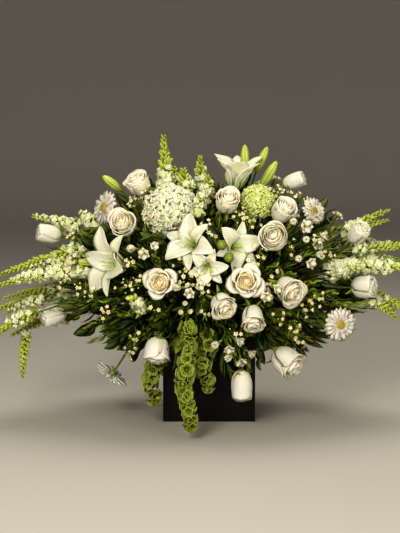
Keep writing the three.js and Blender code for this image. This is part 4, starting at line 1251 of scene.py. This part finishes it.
def room_of(kind, size):
    """Rings of (radius, height) round the axis of a bloom, from its base."""
    radius = size.get("width", 0) / 2
    if kind == "rose":
        high = size["height"]
        rooms = [(0, 0), (0.4 * radius, 0), (1.12 * radius, 0.3 * high), (1.16 * radius, 1.06 * high)]
    elif kind == "gerbera":
        rooms = [(0, 0), (0.008, 0), (1.04 * radius, 0.002), (1.06 * radius, 0.018)]
    elif kind == "lily":
        bends = [math.radians(10), math.radians(size["flare"])]
        out, up, _ = curled(size["length"], bends)(np.array([0.3, 0.6, 1]))
        rooms = [(0, 0), (0.006, 0), *((o + 0.006, u + 0.001) for o, u in zip(out, up))]
    elif kind == "hydrangea":
        rooms = scaled([(0, 0), (0.6, 0.12), (1.04, 0.6), (1.04, 1.4), (0.5, 2)], radius)
    else:
        long = size["length"]
        rooms = [(0, 0), (0.5 * radius, 0), (1.04 * radius, 0.1 * long), (0.5 * radius, long)]
    last_radius, last_height = rooms[-1]
    if kind in ("rose", "gerbera", "lily"):
        rooms += [(0.75 * last_radius, last_height + 0.07)]
    return np.array(rooms)


def base_of(kind, size):
    """Where the axis of a bloom starts: behind its middle, where its table gives the middle."""
    back = {"rose": size.get("height", 0) / 2, "gerbera": 0.004, "hydrangea": 0.48 * size.get("width", 0)}
    return Vector(size["at"]) - facing(*size["face"]) * back.get(kind, 0)


BLOOMS = [
    dict(kind=kind, size=size, base=base_of(kind, size), way=facing(*size["face"]), room=room_of(kind, size))
    for kind, (table, _, _) in BLOOM_KINDS.items()
    for size in table.values()
]


def are_clear(points, margin):
    """For each point, whether it is outside every bloom's room, the vase and the foam."""
    points = np.asarray(points, float)
    free = np.ones(len(points), bool)
    for bloom in BLOOMS:
        local = points - np.array(bloom["base"])
        height = local @ np.array(bloom["way"])
        radius = np.sqrt(np.maximum((local**2).sum(axis=1) - height**2, 0))
        reach = np.interp(height, bloom["room"][:, 1], bloom["room"][:, 0], left=-1, right=-1)
        free &= radius > reach + margin
    aside = np.abs(points[:, :2]).max(axis=1)
    free &= ~((aside < VASE_SIDE / 2 + 0.003) & (points[:, 2] < VASE_SIDE + 0.003))
    free &= ~((aside < VASE_SIDE / 2 - 0.002) & (points[:, 2] < FOAM_TOP + 0.003))
    return free & (points[:, 2] > 0.02)


# Where the disc that must stay in view lies on a bloom, as shares of its depth and of its width
FRONT_DISCS = {"rose": (0.5, 0.94), "hydrangea": (0.5, 0.9), "gerbera": (0.0, 0.98), "lily": (0.2, 0.5)}


def are_aside(points):
    """For each point, whether it leaves the front blooms in view, as a florist sees to."""
    points = np.asarray(points, float)
    free = np.ones(len(points), bool)
    front = np.array(facing(0, 6))
    for bloom in BLOOMS:
        if bloom["kind"] not in FRONT_DISCS or bloom["way"].y > 0.3:
            continue
        deep, wide = FRONT_DISCS[bloom["kind"]]
        size = bloom["size"]
        across = size.get("width", 2 * size.get("length", 0))
        middle = bloom["base"] + bloom["way"] * deep * size.get("height", across)
        local = points - np.array(middle)
        nearer = local @ front
        radius = np.sqrt(np.maximum((local**2).sum(axis=1) - nearer**2, 0))
        free &= (radius > wide * across / 2) | (nearer < 0) | (nearer > 0.12)
    return free


# Greenery


def azimuth_of(point):
    return math.degrees(math.atan2(point[0], -point[1]))


def side_of(point):
    azimuth = azimuth_of(point)
    return next(name for name, (low, high) in SIDES.items() if (azimuth - low) % 360 < high - low)


def foot_of(side):
    low, high = SIDES[side]
    return facing((low + high) / 2, 0) * HOLE_CIRCLE + UP * (FOAM_TOP + 0.004)


def stem_way(start, end, direction):
    """Points along a stem that leaves the foam and meets its end straight on."""
    span = (end - start).length
    flat = Vector((end.x - start.x, end.y - start.y, 0))
    rise = 0.3 * span if end.z > start.z + 0.1 else 0.06 + 0.12 * span
    first = start + flat * 0.3 + UP * rise * (1.0 if end.z > start.z else 0.8)
    before = end - direction * min(0.3 * span, 0.07)
    return bezier([start, first, before, end], np.linspace(0, 1, 10))


def on_dome(direction, share):
    high = DOME["up"] if direction.z > 0 else DOME["down"]
    scale = math.hypot(direction.x / DOME["half_x"], direction.y / DOME["half_y"], direction.z / high)
    return direction * (share / scale) + UP * DOME["middle"]


def dome_direction(k, count, offset):
    """One of a count of directions that are spread evenly over the dome."""
    up = mix(0.97, -0.62, (k + 0.5) / count)
    flat = math.sqrt(1 - up * up)
    turn = (k + offset) * GOLDEN_TURN
    return Vector((math.sin(turn) * flat, -math.cos(turn) * flat, up))


def cad_leaves(node):
    """The places of a CAD greenery node's large leaves, found by their tips, with their lengths."""
    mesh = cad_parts[node].data
    points = read(mesh.vertices, "co", 3).astype(float)
    merged, index = np.unique(np.round(points, 5), axis=0, return_inverse=True)
    index = index.ravel()
    mesh.calc_loop_triangles()
    triangles = index[read(mesh.loop_triangles, "vertices", 3, np.int32)]
    pairs = np.concatenate([triangles[:, [0, 1]], triangles[:, [1, 2]], triangles[:, [2, 0]]])
    pairs = np.unique(np.sort(pairs, axis=1), axis=0)
    pairs = pairs[pairs[:, 0] != pairs[:, 1]]
    both = np.concatenate([pairs, pairs[:, ::-1]])
    both = both[np.argsort(both[:, 0], kind="stable")]
    starts = np.searchsorted(both[:, 0], np.arange(len(merged) + 1))
    line = curled(1.0, [-LEAF_CURL / 3, LEAF_CURL])
    out, up, _ = (float(v) for v in line(np.float64(1.0)))
    ring_out, ring_up, _ = (float(v) for v in line(np.float64(2 / 3)))
    tip, ring = Vector((0, -out, up)), Vector((0, -ring_out, ring_up))
    local = basis((tip - ring).normalized(), Vector((1, 0, 0)))
    found = []
    for k in range(len(merged)):
        near = both[starts[k] : starts[k + 1], 1]
        if len(near) != 3:
            continue
        ways = merged[near] - merged[k]
        lengths = np.linalg.norm(ways, axis=1)
        if lengths.min() < SHORTEST_TIP or min((ways / lengths[:, None]) @ (ways[0] / lengths[0])) < 0.5:
            continue
        gaps = [np.linalg.norm(merged[near[(j + 1) % 3]] - merged[near[(j + 2) % 3]]) for j in range(3)]
        rib = int(np.argmax(gaps))
        left, right = (Vector(merged[near[(rib + j) % 3]]) for j in (1, 2))
        middle, end = (left + right) / 2, Vector(merged[k])
        forward = (end - middle).normalized()
        sideways = (left - right).normalized()
        ridge = Vector(merged[near[rib]]) - middle
        if sideways.cross(ridge).dot(forward) > 0:
            sideways.negate()
        turn = basis(forward, sideways) @ local.inverted()
        length = (end - middle).length / (tip - ring).length
        found.append((end - turn @ (tip * length), turn, length))
    return found


def basis(forward, sideways):
    """A turn whose Z looks forward and whose X looks sideways."""
    x = (sideways - forward * sideways.dot(forward)).normalized()
    y = forward.cross(x)
    return Matrix((x, y, forward)).transposed()


class Shapes:
    """The small forms that the greenery is made of, modelled once."""

    def __init__(self):
        long = sizes().leaf_length
        self.large = blade(LARGE_LEAF, 0.040, 0.45, LEAF_CURL, 0.16, "leaf", columns=4, rows=7, wave=0.0016)
        self.broad = blade(long, 0.5 * long, 0.42, 0.6, 0.22, "leaf", rows=5, wave=0.0008)
        self.lance = blade(long, 0.26 * long, 0.4, 0.5, 0.3, "leaf", rows=5)
        self.small = blade(0.022, 0.012, 0.45, 0.5, 0.2, "young_leaf", rows=3)
        self.needle = blade(0.024, 0.0028, 0.5, 0.4, 0.2, "young_leaf", columns=1, rows=3)
        wax = [(0, -0.006), (0.0016, -0.003), (0.0057, 0.0020), (0.0022, 0.0006), (0, 0.0002)]
        self.wax = turned(15, wax, "wax", lobes(5, 0.5, 0.0003, 0.0006))
        self.wax_bud = turned(5, [(0, -0.004), (0.0022, 0), (0, 0.003)], "wax")
        self.alstroemeria = [self.alstroemeria_form(opened) for opened in (1.0, 0.1, 0.6)]
        self.daisy = self.daisy_form()

    def alstroemeria_form(self, opened):
        petal = blade(0.022, 0.0160, 0.62, 0.7, 0.2, "alstroemeria", rows=5, tip=0.5, wave=0.002)
        thin = blade(0.022, 0.0095, 0.62, 0.5, 0.3, "alstroemeria", rows=5, tip=0.45)
        foot = turned(6, [(0, -0.012), (0.0022, -0.008), (0.0026, 0), (0, 0.003)], "young_leaf")
        parts = [(foot, Matrix(), 0.9)]
        for k in range(6):
            lean = Matrix.Rotation(math.radians((34 if k % 2 else 24) * opened + 4), 4, "X")
            parts.append(((thin if k % 2 else petal), Matrix.Rotation(k * math.pi / 3, 4, "Z") @ lean, 0.1))
        return gathered(parts)

    def daisy_form(self):
        rings = [(0, -0.003), (0.002, -0.002), (0.0068, 0.0006), (0.003, 0.0012), (0, 0.0012)]
        rays = turned(24, rings, "gerbera", lobes(12, 0.35))
        heart = turned(8, [(0, 0), (0.0036, 0.0012), (0.003, 0.0028), (0, 0.0034)], "disc")
        return gathered([(rays, Matrix()), (heart, Matrix(), 0.1)])


class Greenery:
    """The greenery of all sides as it grows: a list of parts for each side."""

    def __init__(self, dice):
        self.dice = dice
        self.shapes = Shapes()
        self.parts = {side: [] for side in SIDES}
        self.leaves = {side: [] for side in SIDES}

    def add(self, side, form, place, tone):
        self.parts[side].append((form, place, tone))

    def add_stem(self, side, points, kind, thin=1.0):
        self.add(side, tube(points, STEMS[kind], thin=thin), Matrix(), 0.5)

    def add_stalk(self, side, end, way, kind):
        self.add_stem(side, stem_way(foot_of(side), end, way), kind)

    def bloom_stems(self):
        for bloom in BLOOMS:
            side = side_of(bloom["base"])
            self.add_stalk(side, bloom["base"], bloom["way"], "bloom")

    def bunches(self):
        for side in SIDES:
            foot = foot_of(side)
            for k in range(7):
                turn = k * GOLDEN_TURN
                at = foot + Vector((math.cos(turn), math.sin(turn), 0)) * 0.0028 * math.sqrt(k)
                self.add_stem(side, [at - UP * 0.065, at, at + UP * 0.02], "bunch")

    def carried_leaves(self):
        """Large leaves, each where the CAD greenery has one."""
        for side in SIDES:
            for root, turn, length in cad_leaves(f"greenery_{side}"):
                place = Matrix.LocRotScale(root, turn.to_quaternion(), Vector((length / LARGE_LEAF,) * 3))
                self.add(side, self.shapes.large, place, self.dice.uniform(0, 0.7))

    def lily_buds(self):
        for bud in LILY_BUDS:
            long, wide = bud["length"], bud["width"]
            rings = [(0, -0.004), (0.22, 0.02), (0.42, 0.2), (0.5, 0.42), (0.44, 0.7), (0.24, 0.92), (0, 1)]
            rings = [(r * wide, z * long if z > 0 else z) for r, z in rings]
            form = turned(18, rings, "lily_bud", self.bud_ridges)
            self.stand(bud, form, 0.3)

    def stand(self, row, form, *tone):
        """Adds a form where a row of a table has it, with the stem that carries it."""
        base, way = Vector(row["at"]), facing(*row["face"])
        side = side_of(base)
        self.parts[side].append((form, spot(base, way), *tone))
        self.add_stalk(side, base, way, "spike")

    def green_buds(self):
        rings = [(0, -0.011), (0.006, -0.009), (0.0115, 0.0), (0.009, 0.007), (0.004, 0.0105), (0, 0.011)]
        form = turned(16, rings, "bells", self.bud_ridges)
        foot = Vector(in_metres(GREEN_BUD_FOOT))
        for at in map(in_metres, GREEN_BUDS):
            middle = Vector(at)
            way = (facing(azimuth_of(at), 10) * 2 + (middle - foot).normalized()).normalized()
            side = side_of(at)
            self.add(side, form, spot(middle, way), 0.15)
            knots = [foot, foot + UP * 0.01, middle - way * 0.03, middle - way * 0.01]
            self.add_stem(side, bezier(knots, np.linspace(0, 1, 7)), "leaves")

    @staticmethod
    def bud_ridges(radius, angle, height):
        return radius * (1 - 0.08 * np.cos(3 * angle) ** 8), height

    def spikes(self):
        for spike in [HANGING_SPIKE, *FILLER_SPIKES]:
            self.stand(spike, snapdragon_form(spike, self.dice))

    def alstroemerias(self):
        for row in ALSTROEMERIAS:
            base, way = Vector(row["at"]), facing(*row["face"])
            side = side_of(base)
            aside = way.cross(UP).normalized()
            for k, (x, z) in enumerate([(0, 0), (0.019, 0.009), (-0.015, 0.014)]):
                tilt = (way + aside * x * 48 + UP * (z * 20 - 0.2)).normalized()
                point = base + aside * x + UP * z - way * 0.004
                place = spot(point, tilt, self.dice.uniform(0, 6), self.dice.uniform(0.85, 1.12))
                self.add(side, self.shapes.alstroemeria[k], place, self.dice.uniform(0, 0.45))
                self.add_stem(side, [point - way * 0.04 - aside * x, point - tilt * 0.011], "sprig")
            self.add_stalk(side, base - way * 0.04, way, "spike")

    def daisies(self):
        for at in map(in_metres, DAISIES):
            base = Vector(at)
            way = (facing(azimuth_of(at), 12) + Vector(self.dice.normal(0, 0.15, 3))).normalized()
            side = side_of(base)
            self.add(side, self.shapes.daisy, spot(base, way), 0.5)
            self.add_stalk(side, base, way, "daisy")

    def wax_cluster(self, middle, count):
        base = Vector(middle)
        side = side_of(base)
        away = Vector((base.x * 0.6, base.y * 1.4, base.z - 0.24)).normalized()
        fork = base - away * 0.03
        for k in range(count):
            turn = k * GOLDEN_TURN
            aside = away.orthogonal()
            aside.rotate(Quaternion(away, turn))
            point = base + aside * 0.0052 * math.sqrt(k) * self.dice.uniform(0.8, 1.6)
            point += away * self.dice.uniform(-0.008, 0.006)
            way = (away + aside * self.dice.uniform(0.0, 0.8)).normalized()
            form = self.shapes.wax if self.dice.uniform() > 0.15 else self.shapes.wax_bud
            size = self.dice.uniform(0.75, 1.1)
            self.add(side, form, spot(point, way, turn, size), self.dice.uniform(0, 1) ** 2)
            self.add_stem(side, [fork, point - way * 0.005], "twig")
        for k in range(2 * count):
            direction = (away + Vector(self.dice.normal(0, 0.6, 3))).normalized()
            at = fork + away * self.dice.uniform(-0.02, 0.02)
            place = spot(at, direction, self.dice.uniform(0, 6))
            self.add(side, self.shapes.needle, place, self.dice.uniform(0, 0.7))
        self.add_stalk(side, fork, away, "sprig")

    def waxflowers(self):
        for *at, count in WAXFLOWERS:
            self.wax_cluster(in_metres(at), count)
        for k in range(sizes().wax_sprigs):
            direction = dome_direction(k, sizes().wax_sprigs, 0.37)
            point = on_dome(direction, self.dice.uniform(0.95, 1.04))
            if point.y > -0.09 and are_clear([point], 0.012)[0]:
                self.wax_cluster(point, int(self.dice.integers(4, 9)))

    def sprig(self, end, way, form, leaves, size, tone):
        """Adds a stem to an end, as far as nothing is in its way, with leaves along its outer half."""
        side = side_of(end)
        points = stem_way(foot_of(side), end, way)
        blocked = np.flatnonzero(~are_clear(points[3:], 0.002))
        last = len(points) if not len(blocked) else 3 + int(blocked[0])
        if last < 6:
            return
        self.add_stem(side, points[:last], "sprig", thin=0.5)
        self.leaf_along(side, points[:last], form, leaves, size, tone)

    def sprigs(self):
        shapes = self.shapes
        # Each kind is a leaf, how many of them a sprig has, their size and their tone
        kinds = [(shapes.broad, 9, 0.85, 0.1), (shapes.lance, 12, 0.9, 0.2), (shapes.small, 24, 1.0, 0.1)]
        count = sizes().sprigs
        for k in range(count):
            end = on_dome(dome_direction(k, count, 0.11), self.dice.uniform(0.78, 1.0))
            way = (end - UP * (DOME["middle"] - 0.03)).normalized()
            self.sprig(end, way, *kinds[[0, 1, 2, 0, 2, 1, 2][k % 7]])
        count = sizes().needle_sprigs
        for k in range(count):
            end = on_dome(dome_direction(k, count, 0.61), self.dice.uniform(0.88, 1.05))
            way = (end - UP * (DOME["middle"] - 0.06)).normalized()
            self.sprig(end, way, shapes.needle, 38, 1.1, 0.2)
        for k, row in enumerate(HANGING_SPRIGS):
            self.sprig(Vector(row["at"]), facing(*row["face"]), *kinds[[1, 2, 0][k % 3]])
        for row in LEAF_GROUPS:
            self.leaf_group(Vector(row["at"]), facing(*row["face"]))

    def leaf_group(self, at, way):
        side = side_of(at)
        self.add_stalk(side, at, way, "leaves")
        for k in range(5):
            direction = (way + Vector(self.dice.normal(0, 0.45, 3))).normalized()
            roll, size = self.dice.uniform(-1, 1), self.dice.uniform(0.6, 0.85)
            place = spot(at - way * 0.006 * k, direction, roll, size)
            self.add(side, self.shapes.broad, place, self.dice.uniform(0.75, 1))

    def leaf_along(self, side, points, form, count, grow, tone):
        for j in range(count):
            share = mix(0.42, 1.0, j / (count - 1)) * (len(points) - 1)
            k = min(int(share), len(points) - 2)
            at = Vector(mix(points[k], points[k + 1], share - k))
            along = Vector(points[k + 1] - points[k]).normalized()
            aside = along.orthogonal().normalized()
            aside.rotate(Quaternion(along, j * GOLDEN_TURN))
            lean = math.radians(mix(62, 18, j / (count - 1)) + self.dice.normal(0, 8))
            forward = along * math.cos(lean) + aside * math.sin(lean)
            turn = basis(forward, forward.cross(along * math.sin(lean) - aside * math.cos(lean)))
            size = grow * self.dice.uniform(0.7, 1.15)
            place = Matrix.LocRotScale(at, turn.to_quaternion(), Vector((size,) * 3))
            self.leaves[side].append((form, place, tone + self.dice.uniform(0, 1) ** 1.5 * 0.85))

    def settle_leaves(self):
        """Keeps the leaves that are clear of the blooms."""
        for side, leaves in self.leaves.items():
            if not leaves:
                continue
            free = np.ones(len(leaves), bool)
            for share in (0.45, 0.75, 1.0):
                ends = [self.leaf_point(form, place, share) for form, place, _ in leaves]
                free &= are_clear(ends, 0.0015) & are_aside(ends)
            self.parts[side] += [leaf for leaf, is_free in zip(leaves, free) if is_free]

    @staticmethod
    def leaf_point(form, place, share):
        top = form.points[:, 2].max()
        row = form.points[np.abs(form.points[:, 2] - share * top).argmin()]
        return place @ Vector((0, float(row[1]), float(row[2])))

    def grow(self):
        self.bunches()
        self.bloom_stems()
        self.carried_leaves()
        self.lily_buds()
        self.green_buds()
        self.spikes()
        self.alstroemerias()
        self.daisies()
        self.waxflowers()
        self.sprigs()
        self.settle_leaves()


# Operators


def dress(kind):
    """Makes each bloom of a kind, in the place of its CAD node."""
    table, make, slot = BLOOM_KINDS[kind]
    for number, (name, size) in enumerate(table.items()):
        dice = np.random.default_rng(1000 * list(BLOOM_KINDS).index(kind) + number)
        form = make(size, dice)
        place = spot(base_of(kind, size), facing(*size["face"]), math.radians(size.get("roll", 0)))
        piece(f"{name}_bloom", gathered([(form, place)]), name)


def coated(node, finish):
    """Gives a CAD node that stays in view its finish."""
    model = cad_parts[node]
    model.data.materials.clear()
    model.data.materials.append(finish_named(finish))
    return model


class SPRAY_OT_vase(bpy.types.Operator):
    """Finishes the black cube vase and softens its edges"""

    bl_idname = "spray.vase"
    bl_label = "Vase"

    def execute(self, context):
        vase = coated("vase", "vase")
        weld = vase.modifiers.new("weld", "WELD")
        weld.merge_threshold = 1e-5
        bevel = vase.modifiers.new("bevel", "BEVEL")
        bevel.width = 0.0009
        bevel.segments = 2
        return {"FINISHED"}


class SPRAY_OT_foam(bpy.types.Operator):
    """Finishes the wet foam that holds the stems"""

    bl_idname = "spray.foam"
    bl_label = "Foam"

    def execute(self, context):
        coated("floral_foam", "foam")
        return {"FINISHED"}


class Blooms:
    """What the operators that add blooms share. Each names its kinds of bloom."""

    def execute(self, context):
        for kind in self.kinds:
            dress(kind)
        return {"FINISHED"}


class SPRAY_OT_roses(Blooms, bpy.types.Operator):
    """Adds the roses, from closed to full-blown"""

    bl_idname = "spray.roses"
    bl_label = "Roses"
    kinds = ("rose",)


class SPRAY_OT_lilies(Blooms, bpy.types.Operator):
    """Adds the open lilies"""

    bl_idname = "spray.lilies"
    bl_label = "Lilies"
    kinds = ("lily",)


class SPRAY_OT_gerberas(Blooms, bpy.types.Operator):
    """Adds the gerberas"""

    bl_idname = "spray.gerberas"
    bl_label = "Gerberas"
    kinds = ("gerbera",)


class SPRAY_OT_hydrangeas(Blooms, bpy.types.Operator):
    """Adds the hydrangeas"""

    bl_idname = "spray.hydrangeas"
    bl_label = "Hydrangeas"
    kinds = ("hydrangea",)


class SPRAY_OT_spikes(Blooms, bpy.types.Operator):
    """Adds the snapdragons and the stock"""

    bl_idname = "spray.spikes"
    bl_label = "Snapdragons and stock"
    kinds = ("stock", "snapdragon")


class SPRAY_OT_bells(Blooms, bpy.types.Operator):
    """Adds the hanging bells of Ireland"""

    bl_idname = "spray.bells"
    bl_label = "Bells of Ireland"
    kinds = ("bells",)


class SPRAY_OT_greenery(bpy.types.Operator):
    """Adds the stems, leaves, buds and small flowers, one piece for each side"""

    bl_idname = "spray.greenery"
    bl_label = "Greenery"

    def execute(self, context):
        greenery = Greenery(np.random.default_rng(20))
        greenery.grow()
        for side, parts in greenery.parts.items():
            piece(f"greenery_{side}_leaves", gathered(parts), f"greenery_{side}")
        return {"FINISHED"}


class SPRAY_OT_stage(bpy.types.Operator):
    """Adds the floor, the lights and the camera"""

    bl_idname = "spray.stage"
    bl_label = "Stage"

    def execute(self, context):
        self.floor()
        for name, (at, size, power) in LAMPS.items():
            self.light(name, at, size, power)
        world = bpy.data.worlds.new("studio")
        world.use_nodes = True
        world.node_tree.nodes["Background"].inputs[0].default_value = WORLD_COLOUR
        world.node_tree.nodes["Background"].inputs[1].default_value = WORLD_STRENGTH
        context.scene.world = world
        context.scene.view_settings.view_transform = "Standard"
        context.scene.view_settings.look = "High Contrast"
        context.scene.view_settings.exposure = EXPOSURE
        self.camera(context)
        return {"FINISHED"}

    def floor(self):
        """A round floor whose edge curves up, far off, into a backdrop on all sides"""
        bpy.ops.object.select_all(action="DESELECT")
        bpy.ops.mesh.primitive_circle_add(vertices=64, radius=6, fill_type="TRIFAN")
        floor = bpy.context.object
        floor.name = "studio_floor"
        editing(True)
        bpy.ops.mesh.select_all(action="DESELECT")
        editing(False)
        for edge in floor.data.edges:
            edge.select = all(floor.data.vertices[v].co.length > 5 for v in edge.vertices)
        editing(True)
        bpy.ops.mesh.select_mode(type="EDGE")
        for grow, rise in [(1.1, 0.06), (1.08, 0.3), (1.05, 0.7), (1.02, 1.1), (1.0, 6)]:
            bpy.ops.mesh.extrude_region_move(TRANSFORM_OT_translate={"value": (0, 0, rise)})
            bpy.ops.transform.resize(value=(grow, grow, 1), center_override=(0, 0, 0))
        editing(False)
        bpy.ops.object.shade_smooth()
        f = Finish("studio floor")
        grain = f.noise(3.0, 4.0)
        shade = f.blend(grain * 0.12, colours().floor, ink(0.52, 0.50, 0.47))
        floor.data.materials.append(f.surface(shade, 0.8))

    def light(self, name, at, size, power):
        bpy.ops.object.light_add(type="AREA", location=at)
        lamp = bpy.context.object
        lamp.name = name
        lamp.data.shape = "DISK"
        lamp.data.size = size
        lamp.data.energy = power
        lamp.data.color = LAMP_COLOUR
        aim = LAMP_AIM - Vector(at)
        lamp.rotation_euler = aim.to_track_quat("-Z", "Y").to_euler()

    def camera(self, context):
        bpy.ops.object.camera_add(location=CAMERA_AT, rotation=(CAMERA_TILT, 0, 0))
        camera = bpy.context.object
        camera.data.lens = sizes().lens
        camera.data.sensor_width = 36
        camera.data.clip_end = 50
        context.scene.camera = camera


class SPRAY_PT_panel(bpy.types.Panel):
    """Lists the pieces and the settings of the spray"""

    bl_idname = "SPRAY_PT_panel"
    bl_label = "Casket Spray"
    bl_space_type = "VIEW_3D"
    bl_region_type = "UI"
    bl_category = "Spray"

    def draw(self, context):
        column = self.layout.column()
        for operator in OPERATORS:
            column.operator(operator.bl_idname)
        for settings in (context.scene.spray_sizes, context.scene.spray_colours):
            column.separator()
            for name in settings.__annotations__:
                column.prop(settings, name)


OPERATORS = [
    SPRAY_OT_stage,
    SPRAY_OT_vase,
    SPRAY_OT_foam,
    SPRAY_OT_roses,
    SPRAY_OT_lilies,
    SPRAY_OT_gerberas,
    SPRAY_OT_hydrangeas,
    SPRAY_OT_spikes,
    SPRAY_OT_bells,
    SPRAY_OT_greenery,
]
CLASSES = [SpraySizes, SprayColours, *OPERATORS, SPRAY_PT_panel]


def register():
    for cls in CLASSES:
        bpy.utils.register_class(cls)
    bpy.types.Scene.spray_sizes = bpy.props.PointerProperty(type=SpraySizes)
    bpy.types.Scene.spray_colours = bpy.props.PointerProperty(type=SprayColours)


def unregister():
    del bpy.types.Scene.spray_colours
    del bpy.types.Scene.spray_sizes
    for cls in reversed(CLASSES):
        bpy.utils.unregister_class(cls)


def main():
    register()
    for operator in OPERATORS:
        group, name = operator.bl_idname.split(".")
        getattr(getattr(bpy.ops, group), name)()


if __name__ == "__main__":
    main()
